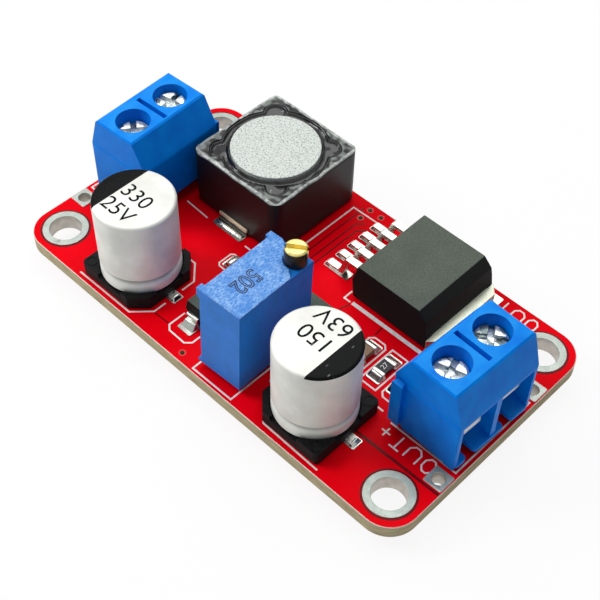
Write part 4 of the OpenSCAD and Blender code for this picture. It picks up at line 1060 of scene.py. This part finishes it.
def add_words(bm, words, middle, turn, height, width, low, rise):
    """Adds stroke letters along a line through their middle."""
    total = sum(LETTERS[letter][0] for letter in words) + LETTER_GAP * (len(words) - 1)
    place = (Matrix.Translation((middle[0] * MM, middle[1] * MM, 0))
             @ Matrix.Rotation(math.radians(turn), 4, "Z"))
    start = -total / 2
    for letter in words:
        cell, strokes = LETTERS[letter]
        for closed, points in strokes:
            spots = [place @ Vector(((start + x) * height, (y - 0.5) * height, 0)) for x, y in points]
            add_stroke(bm, [(spot.x, spot.y) for spot in spots], width, low, rise, closed)
        start += cell + LETTER_GAP


class CONVERTER_OT_board(bpy.types.Operator):
    """Dress the board, its plated holes, its lands and the gaps in its copper"""
    bl_idname = "converter.board"
    bl_label = "Board"

    def execute(self, context):
        look = settings().board
        top = board_top()
        self.add_plate(look)
        dress_nodes("solder", "solder_joints")
        dress_nodes("tinned_copper", "solder_lands", "trimmer_pins")
        plating = finish("plating", plating_finish)
        soft_node("mounting_rings", "tinned_copper", edge=0.04 * MM, material=plating)
        soft_node("wire_pads", "tinned_copper", edge=0.03 * MM, material=plating)
        bm = bmesh.new()
        add_stroke(bm, in_metres(WIDE_GAP), look.wide_gap, top, look.gap_rise)
        for points in COPPER_GAPS:
            add_stroke(bm, in_metres(points), look.gap_width, top, look.gap_rise)
        for low, high in solid_boxes("mounting_rings"):
            add_ring(bm, (low + high) / 2, (high.x - low.x) / 2, look.halo_width, top, look.gap_rise)
        add_piece(bm, "copper_gaps", finish("mask_gap", gap_finish))
        bm = bmesh.new()
        for middle in in_metres(VIA_PLACES):
            add_ring(bm, middle, VIA_HOLE / 2 * MM, look.via_ring, top, look.gap_rise, VIA_STEPS)
        add_piece(bm, "via_rings", finish("via_mask", via_finish))
        return {"FINISHED"}

    def add_plate(self, look):
        """The board itself, with a fine bevelled corner along its outline that carries a painted highlight.
        """
        bm = node_copy("pcb")
        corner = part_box("pcb")[1]
        rim = [e for e in bm.edges if e.calc_face_angle(0) > SHARP_ANGLE
               and all(on_outline(v.co, corner) for v in e.verts)
               and abs(e.verts[0].co.z - e.verts[1].co.z) < MERGE_DISTANCE]
        bevel(bm, rim, look.arris_width, segments=1)
        add_piece(bm, "pcb.cut", slot_finish("solder_mask"), replaces=["pcb"])


class CONVERTER_OT_print(bpy.types.Operator):
    """Print the white outlines and letters on the board"""
    bl_idname = "converter.print"
    bl_label = "Print"

    def execute(self, context):
        look = settings().board
        top = board_top()
        ink = finish("board_ink", ink_finish)
        bm = bmesh.new()
        for closed, points in PRINT_OUTLINES:
            add_stroke(bm, in_metres(points), look.line_width, top, look.ink_rise, closed)
        add_stroke(bm, in_metres(REGULATOR_BAR), REGULATOR_BAR_WIDTH * MM, top, look.ink_rise)
        add_piece(bm, "printed_outlines", ink)
        bm = bmesh.new()
        for words, middle, turn, height in BOARD_WORDS:
            add_words(bm, words, middle, turn, height * MM, look.letter_width, top, look.ink_rise)
        add_piece(bm, "printed_words", ink)
        return {"FINISHED"}


# Solder, in millimetres: the height of the lands under it, and how far it laps over an end and past its sides
LAND_RISE = 0.1
SOLDER_LAP = 0.1
# Reach and height of the solder at the ends of the small parts, and the share of that reach that slopes
END_FILLETS = {
    "protection_diode_leads": (0.7, 0.6),
    "rectifier_diode_leads": (0.7, 0.6),
    "chip_resistor_ends": (0.6, 0.4),
    "chip_capacitor_ends": (0.6, 0.6),
}
FILLET_SLOPE = 0.75


def add_mound(bm, x, y, rise, insets, soft):
    """Adds a solder mound: a block on the lands whose top is drawn in on each side (-X, +X, -Y, +Y), with
    round edges. Its ends along X and Y are in metres, and its other sizes in millimetres."""
    seat = board_top() + LAND_RISE * MM
    low = Vector((x[0], y[0], seat))
    high = Vector((x[1], y[1], seat + rise * MM))
    middle = (low + high) / 2
    place = Matrix.Translation(middle) @ Matrix.Diagonal((*(high - low), 1))
    verts = bmesh.ops.create_cube(bm, size=1, matrix=place)["verts"]
    left, right, front, back = (inset * MM for inset in insets)
    for vert in verts:
        if vert.co.z > middle.z:
            vert.co.x += left if vert.co.x < middle.x else -right
            vert.co.y += front if vert.co.y < middle.y else -back
    edges = {edge for vert in verts for edge in vert.link_edges}
    upper = [e for e in edges if max(v.co.z for v in e.verts) > middle.z]
    bevel(bm, upper, soft * MM, segments=4)


class CONVERTER_OT_solder(bpy.types.Operator):
    """Add the solder that holds the leads and ends on their lands"""
    bl_idname = "converter.solder"
    bl_label = "Solder"

    def execute(self, context):
        bm = bmesh.new()
        lap = SOLDER_LAP * MM
        toe = 0.3 * MM
        for low, high in solid_boxes("regulator_leads"):
            add_mound(bm, (low.x - toe, low.x + toe), (low.y - lap, high.y + lap),
                      rise=0.32, insets=(0.26, 0, 0.12, 0.12), soft=0.1)
        low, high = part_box("regulator_tab")
        over, out, bare_end = 0.05 * MM, 0.38 * MM, 0.8 * MM
        add_mound(bm, (high.x - over, high.x + out), (low.y + bare_end, high.y - bare_end),
                  rise=0.4, insets=(0, 0.34, 0.2, 0.2), soft=0.1)
        for node in ("input_capacitor_leads", "output_capacitor_leads"):
            self.add_lead_mounds(bm, *solid_boxes(node))
        for node, (out, rise) in END_FILLETS.items():
            self.add_end_fillets(bm, solid_boxes(node), out, rise)
        low, high = solid_boxes("inductor_clips")[0]
        out = 0.7 * MM
        add_mound(bm, (low.x + lap, high.x - lap), (low.y - out, low.y - lap),
                  rise=0.14, insets=(0.15, 0.15, 0.2, 0.2), soft=0.06)
        add_piece(bm, "solder_fillets", slot_finish("solder"))
        return {"FINISHED"}

    def add_lead_mounds(self, bm, left, right):
        """Adds solder over the outer tips of a capacitor's two leads."""
        inward, outward, beside = 0.3 * MM, 0.26 * MM, 0.08 * MM
        ends = ((left, (left[0].x - outward, left[0].x + inward), (0.24, 0.1)),
                (right, (right[1].x - inward, right[1].x + outward), (0.1, 0.24)))
        for (low, high), x, slopes in ends:
            add_mound(bm, x, (low.y - beside, high.y + beside),
                      rise=0.38, insets=(*slopes, 0.25, 0.25), soft=0.12)

    def add_end_fillets(self, bm, boxes, out, rise):
        """Adds a sloping fillet to each end of some parts, on the side away from the part's other end."""
        lap = SOLDER_LAP * MM
        for low, high in boxes:
            ways = [(low + high - other[0] - other[1]) / 2 for other in boxes if other[0] is not low]
            away = min(ways, key=lambda way: way.length)
            axis = 0 if abs(away.x) > abs(away.y) else 1
            forward = away[axis] > 0
            slopes = [0.12] * 4
            slopes[2 * axis + forward] = FILLET_SLOPE * out
            slopes[2 * axis + (not forward)] = 0
            ends = [(low[side] - lap, high[side] + lap) for side in (0, 1)]
            if forward:
                ends[axis] = (high[axis] - lap, high[axis] + out * MM)
            else:
                ends[axis] = (low[axis] - out * MM, low[axis] + lap)
            add_mound(bm, *ends, rise, slopes, soft=0.12)


# Clamp plates and screws, in millimetres: the length of a plate's lip and how far it is drawn out, and the
# height of a screw's head and how far each is drawn up
PLATE_LIP = 0.56
PLATE_REACH = 0.45
SCREW_HEAD = 0.8
SCREW_LIFTS = {
    "output_clamp_screw_1": 0.6,
    "output_clamp_screw_2": 0.4,
    "input_clamp_screw_1": 0.95,
    "input_clamp_screw_2": 1.3,
}


class CONVERTER_OT_terminals(bpy.types.Operator):
    """Dress the two screw terminals, their contacts and their clamp plates"""
    bl_idname = "converter.terminals"
    bl_label = "Screw terminals"

    def execute(self, context):
        look = settings().plastic
        for side, out in (("output", 1), ("input", -1)):
            soft_node(side + "_terminal_housing", "terminal_plastic", look.terminal_edge)
            dress_nodes("plated_steel", side + "_contact_frames")
            for pole in ("_1", "_2"):
                self.add_plate(side + "_clamp_plate" + pole, out)
        return {"FINISHED"}

    def add_plate(self, node, out):
        """A clamp plate whose lip is drawn out into the wire mouth, along X."""
        bm = node_copy(node)
        tip = max(out * v.co.x for v in bm.verts)
        lip = [v for v in bm.verts if out * v.co.x > tip - PLATE_LIP * MM]
        bmesh.ops.translate(bm, verts=lip, vec=(out * PLATE_REACH * MM, 0, 0))
        soften(bm, width=0.05 * MM)
        add_soft_piece(bm, node, "plated_steel", node)


class CONVERTER_OT_clamp_screws(bpy.types.Operator):
    """Dress the four clamp screws with their cross slots"""
    bl_idname = "converter.clamp_screws"
    bl_label = "Clamp screws"

    def execute(self, context):
        for node, lift in SCREW_LIFTS.items():
            bm = node_copy(node)
            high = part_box(node)[1].z
            head = [v for v in bm.verts if v.co.z > high - SCREW_HEAD * MM]
            bmesh.ops.translate(bm, verts=head, vec=(0, 0, lift * MM))
            soften(bm, width=0.06 * MM)
            add_soft_piece(bm, node, "screw_steel", node)
        return {"FINISHED"}


# Inductor, in millimetres: the steps of the bead along the glue's edges, each a way inwards and a rise, and
# the swells of the glue and of the shield's rim, each a height and a size across, on a grid of this spacing
GLUE_BEAD = [(0.05, 0.07), (0.05, 0.04), (0.05, 0.0), (0.05, -0.05), (0.06, -0.1), (0.08, -0.08),
             (0.08, -0.03)]
GLUE_SWELL = (0.15, 1.3)
RIM_SWELL = (0.09, 1.6)
SWELL_GRID = 0.2


class CONVERTER_OT_inductor(bpy.types.Operator):
    """Make the inductor's shield, core, glue and clips"""
    bl_idname = "converter.inductor"
    bl_label = "Inductor"

    def execute(self, context):
        bm = node_copy("inductor_shield")
        soften(bm, width=0.05 * MM)
        self.ripple(bm, *RIM_SWELL)
        add_soft_piece(bm, "inductor_shield", "ferrite")
        soft_node("inductor_core", "ferrite_core", edge=0.08 * MM)
        soft_node("inductor_clips", "tinned_copper", edge=0.05 * MM,
                  material=finish("clip_metal", clip_finish))
        dress_nodes("copper_wire", "inductor_winding")
        bm = node_copy("inductor_glue")
        top = [f for f in bm.faces if f.normal.z > LEVEL_FACE]
        for inward, rise in GLUE_BEAD:
            bmesh.ops.inset_region(bm, faces=top, thickness=inward * MM, depth=rise * MM,
                                   use_boundary=True, use_even_offset=True)
        self.ripple(bm, *GLUE_SWELL)
        add_piece(bm, "inductor_glue.meniscus", slot_finish("potting_glue"),
                  replaces=["inductor_glue"])
        return {"FINISHED"}

    def ripple(self, bm, swell, size):
        """Cuts a mesh into a fine grid and lifts the points of its top faces by smooth swells."""
        spacing = SWELL_GRID * MM
        for axis in (0, 1):
            low = min(v.co[axis] for v in bm.verts)
            high = max(v.co[axis] for v in bm.verts)
            across = Vector((1 - axis, axis, 0))
            for step in range(1, math.ceil((high - low) / spacing)):
                cut_plane(bm, across * (low + step * spacing), across)
        bm.normal_update()
        inner = [v for v in bm.verts if all(f.normal.z > SLOPING_FACE for f in v.link_faces)]
        for vert in inner:
            vert.co.z += swell * MM * noise_at(vert.co / (size * MM))


class CONVERTER_OT_regulator(bpy.types.Operator):
    """Dress the regulator's body, tab and leads"""
    bl_idname = "converter.regulator"
    bl_label = "Regulator"

    def execute(self, context):
        soft_node("regulator_body", "moulding_compound", settings().plastic.compound_edge)
        soft_node("regulator_tab", "tinned_copper", edge=0.05 * MM, material=finish("tab_metal", tab_finish))
        soft_node("regulator_leads", "tinned_copper", edge=0.05 * MM)
        return {"FINISHED"}


# Capacitors: the side of the dark segment along X, the value and its place from the middle of the can's top
CAPACITORS = {
    "input_capacitor": (-1, "330\n25V", (0.05, -0.85)),
    "output_capacitor": (1, "150\n63V", (0.35, -1.3)),
}
# The section of a can, in millimetres: the rounding at its foot and at its top, and the points of its
# groove, each a height from the groove's middle and a depth
CAN_FOOT = 0.4
CAN_EDGE = 0.32
GROOVE = [(-0.6, 0.0), (-0.44, 0.04), (-0.28, 0.16), (-0.12, 0.3), (0.04, 0.4), (0.16, 0.42), (0.24, 0.36),
          (0.28, 0.22), (0.31, 0.08), (0.36, 0.02), (0.44, 0.0)]
# The dark segment, in millimetres: the way from the middle to its straight edge, and how far it stands out
# and is sunk. It starts at this angle on the can's round edge
SEGMENT_EDGE = 1.8
SEGMENT_FILM = 0.015
SEGMENT_SUNK = 0.05
SEGMENT_START = 20
# The round mark on a base, in millimetres: its way in from a corner, its width, how far it is sunk and its
# height
MARK_INSET = 0.75
MARK_WIDTH = 0.12
MARK_SUNK = 0.02
MARK_RISE = 0.08


class CONVERTER_OT_capacitors(bpy.types.Operator):
    """Make the two aluminium capacitors with their print"""
    bl_idname = "converter.capacitors"
    bl_label = "Capacitors"

    def execute(self, context):
        for name, (dark_side, words, words_at) in CAPACITORS.items():
            low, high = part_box(name + "_can")
            axis = ((low.x + high.x) / 2, (low.y + high.y) / 2)
            radius = (high.x - low.x) / 2
            self.add_can(name + "_can", axis, radius, low.z, high.z)
            self.add_segment(name + "_mark", axis, radius, high.z, dark_side)
            self.add_base(name + "_base", axis, dark_side)
            soft_node(name + "_leads", "tinned_copper", edge=0.04 * MM)
            turn = math.pi if dark_side > 0 else 0
            place = (Matrix.Translation((axis[0], axis[1], high.z)) @ Matrix.Rotation(turn, 4, "Z")
                     @ Matrix.Translation((words_at[0] * MM, words_at[1] * MM, 0)))
            add_lettering(name + "_value", words, place, finish("can_ink", can_ink_finish),
                          size=2.32 * MM, rise=0.02 * MM)
        return {"FINISHED"}

    def add_can(self, node, axis, radius, foot, top):
        """The can with its rolled groove and round edges."""
        roll = CAN_FOOT * MM
        edge = CAN_EDGE * MM
        groove = foot + GROOVE_HEIGHT * MM
        section = [(0, foot), *arc(radius - roll, foot + roll, roll, start=-90, end=0, steps=6),
                   *[(radius - depth * MM, groove + height * MM) for height, depth in GROOVE],
                   *arc(radius - edge, top - edge, edge, start=0, end=90, steps=8), (0, top)]
        bm = bmesh.new()
        spin_profile(bm, section, axis)
        add_piece(bm, node + ".turned", slot_finish("can_aluminium"), replaces=[node])

    def add_base(self, node, axis, dark_side):
        """The base with its posts cut lower, and a round mark on the two square corners."""
        look = settings().plastic
        bm = node_copy(node)
        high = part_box(node)[1]
        level = high.z - look.post_trim
        cut_off(bm, (0, 0, level), (0, 0, 1))
        soften(bm, width=0.06 * MM)
        corner = high.y - axis[1] - MARK_INSET * MM
        for side in (-1, 1):
            middle = (axis[0] + dark_side * corner, axis[1] + side * corner)
            add_ring(bm, middle, look.dimple, MARK_WIDTH * MM, level - MARK_SUNK * MM, MARK_RISE * MM,
                     steps=32)
        add_soft_piece(bm, node, "base_plastic")

    def add_segment(self, name, axis, radius, top, dark_side):
        """The dark segment that marks the negative lead, wrapped over the can's top edge."""
        edge = CAN_EDGE * MM
        film = SEGMENT_FILM * MM
        sunk = SEGMENT_SUNK * MM

        def wrap(size):
            return arc(radius - edge, top - edge, size, SEGMENT_START, end=90, steps=8)
        outer = [(0, top + film), *reversed(wrap(edge + film))]
        inner = [*wrap(edge - sunk), (0, top - sunk)]
        bm = bmesh.new()
        spin_profile(bm, outer + inner, axis)
        cut_off(bm, (axis[0] + dark_side * SEGMENT_EDGE * MM, axis[1], top), (-dark_side, 0, 0))
        add_piece(bm, name, finish("can_ink", can_ink_finish))


class CONVERTER_OT_trimmer(bpy.types.Operator):
    """Dress the trimmer and its screw"""
    bl_idname = "converter.trimmer"
    bl_label = "Trimmer"

    def execute(self, context):
        soft_node("trimmer_housing", "trimmer_plastic", settings().plastic.trimmer_edge)
        soft_node("trimmer_screw", "screw_brass", edge=0.05 * MM, body="trimmer_screw")
        middle, normal, way = top_plane("trimmer_housing")
        place = Matrix((-way, normal.cross(-way), normal)).transposed().to_4x4()
        place.translation = middle
        shift = Matrix.Translation((1.2 * MM, 0, 0))
        narrow = Matrix.Diagonal((0.85, 1, 1, 1))
        add_lettering("trimmer_value", "502", place @ shift @ narrow,
                      finish("trimmer_ink", trimmer_ink_finish),
                      size=2.3 * MM, rise=0.02 * MM, outline=0.17 * MM)
        return {"FINISHED"}


class CONVERTER_OT_small_parts(bpy.types.Operator):
    """Dress the diodes and the chip parts"""
    bl_idname = "converter.small_parts"
    bl_label = "Diodes and chip parts"

    def execute(self, context):
        look = settings().plastic
        for diode in ("protection_diode", "rectifier_diode"):
            soft_node(diode + "_body", "moulding_compound", look.compound_edge)
            soft_node(diode + "_leads", "tinned_copper", edge=0.04 * MM)
        soft_node("chip_resistor_body", "resistor_glaze", edge=0.03 * MM)
        soft_node("chip_resistor_ends", "tinned_copper", edge=0.06 * MM)
        soft_node("chip_capacitor_bodies", "chip_ceramic", edge=0.05 * MM)
        soft_node("chip_capacitor_ends", "tinned_copper", edge=0.08 * MM)
        low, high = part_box("chip_resistor_body")
        middle = (low + high) / 2
        place = Matrix.Translation((middle.x, middle.y, high.z)) @ Matrix.Rotation(math.pi / 2, 4, "Z")
        add_lettering("chip_resistor_value", "27", place, finish("board_ink", ink_finish),
                      size=0.75 * MM, rise=0.012 * MM)
        return {"FINISHED"}


# Lamps, in metres: the place and the width of each, with the power in the setting of the same name
LAMPS = {
    "overhead": ((-0.08, 0.1, 0.34), 0.4),
    "key": ((-0.2, -0.12, 0.2), 0.13),
    "glint": ((-0.25, 0.12, 0.4), 0.05),
}
# The floor: its gap under the pins, its paper, and the share of plain white that the camera sees of it, which
# grows from near the object to well away from it, in millimetres from the middle
FLOOR_GAP = 0.02 * MM
PAPER = (0.93, 0.93, 0.93, 1)
WHITE = (1, 1, 1, 1)
FLOOR_NEAR, FLOOR_FAR = 40, 160
WHITE_NEAR, WHITE_FAR = 0.9, 1.0
# Width of the camera's sensor and the nearest distance that it sees
SENSOR_WIDTH = 36
CLIP_START = 5 * MM


class CONVERTER_OT_stage(bpy.types.Operator):
    """Set up the pale floor, the soft light and the camera"""
    bl_idname = "converter.stage"
    bl_label = "Stage"

    def execute(self, context):
        look = settings().stage
        self.add_floor(look)
        self.light_world(look)
        for name, (place, width) in LAMPS.items():
            self.add_lamp(name + "_light", place, width, getattr(look, name))
        self.add_camera(context, look)
        context.scene.view_settings.view_transform = "Standard"
        return {"FINISHED"}

    def add_floor(self, look):
        bm = bmesh.new()
        place = Matrix.Translation((0, 0, CAD_BOX[0][2] - FLOOR_GAP))
        bmesh.ops.create_circle(bm, cap_ends=True, segments=64, radius=look.floor_radius, matrix=place)
        mesh = to_mesh(bm, "floor")
        floor = add_object("floor", mesh)
        mesh.materials.append(self.floor_finish())

    def seen_rays(self, tree):
        """1 for the rays that show the white surroundings: those to the camera, a mirror or a clear part."""
        rays = add_node(tree, "ShaderNodeLightPath").outputs
        bent = maths("MAXIMUM", rays["Is Glossy Ray"], rays["Is Transmission Ray"])
        return maths("MAXIMUM", rays["Is Camera Ray"], bent)

    def floor_finish(self):
        """White paper that the camera sees lit evenly, with the shadow kept near the object"""
        made = Finish("floor_paper", Base_Color=PAPER, Roughness=0.9, Specular_IOR_Level=0.0)
        tree = made.tree
        share = spread(vector_maths("LENGTH", made.vector), FLOOR_NEAR, FLOOR_FAR, WHITE_NEAR, WHITE_FAR)
        white = add_node(tree, "ShaderNodeEmission", Color=WHITE, Strength=1.0)
        blend = add_node(tree, "ShaderNodeMixShader")
        sources = (product(self.seen_rays(tree), share), made.shader.outputs[0], white.outputs[0])
        for socket, source in zip(blend.inputs, sources):
            put(socket, source)
        put(tree.nodes["Material Output"].inputs["Surface"], blend.outputs[0])
        return made.material

    def light_world(self, look):
        world = bpy.data.worlds.new("studio")
        world.use_nodes = True
        bpy.context.scene.world = world
        background = world.node_tree.nodes["Background"].inputs
        put(background["Strength"], spread(self.seen_rays(world.node_tree), 0, 1, look.ambient, 1.0))
        put(background["Color"], WHITE)

    def add_lamp(self, name, place, width, power):
        lamp = bpy.data.lights.new(name, "AREA")
        lamp.shape = "DISK"
        lamp.size = width
        lamp.energy = power
        holder = add_object(name, lamp)
        holder.location = place
        holder.rotation_euler = Vector(place).to_track_quat("Z", "Y").to_euler()

    def add_camera(self, context, look):
        back = Vector((math.sin(look.azimuth) * math.cos(look.elevation),
                       -math.cos(look.azimuth) * math.cos(look.elevation), math.sin(look.elevation)))
        right = Vector((math.cos(look.azimuth), math.sin(look.azimuth), 0))
        up = back.cross(right)
        turned_right = right * math.cos(look.roll) + up * math.sin(look.roll)
        turned_up = up * math.cos(look.roll) - right * math.sin(look.roll)
        data = bpy.data.cameras.new("camera")
        data.lens = look.lens
        data.sensor_width = SENSOR_WIDTH
        data.clip_start = CLIP_START
        camera = add_object("camera", data)
        place = Matrix((turned_right, turned_up, back)).transposed().to_4x4()
        place.translation = Vector(look.target) + back * look.distance
        camera.matrix_world = place
        context.scene.camera = camera


PIECE_OPERATORS = (
    CONVERTER_OT_board,
    CONVERTER_OT_print,
    CONVERTER_OT_solder,
    CONVERTER_OT_terminals,
    CONVERTER_OT_clamp_screws,
    CONVERTER_OT_inductor,
    CONVERTER_OT_regulator,
    CONVERTER_OT_capacitors,
    CONVERTER_OT_trimmer,
    CONVERTER_OT_small_parts,
    CONVERTER_OT_stage,
)


class CONVERTER_PT_panel(bpy.types.Panel):
    """Lists the module's pieces and its stage"""
    bl_idname = "CONVERTER_PT_panel"
    bl_label = "Boost converter"
    bl_space_type = "VIEW_3D"
    bl_region_type = "UI"
    bl_category = "Converter"

    def draw(self, context):
        for operator in PIECE_OPERATORS:
            self.layout.operator(operator.bl_idname)


SETTINGS = (BoardSettings, PlasticSettings, MetalSettings, StageSettings, ConverterSettings)
CLASSES = (*SETTINGS, *PIECE_OPERATORS, CONVERTER_PT_panel)


def register():
    for cls in CLASSES:
        bpy.utils.register_class(cls)
    bpy.types.Scene.converter = PointerProperty(type=ConverterSettings)


def unregister():
    del bpy.types.Scene.converter
    for cls in reversed(CLASSES):
        bpy.utils.unregister_class(cls)


def main():
    register()
    for operator in PIECE_OPERATORS:
        group, name = operator.bl_idname.split(".")
        getattr(getattr(bpy.ops, group), name)()


if __name__ == "__main__":
    main()
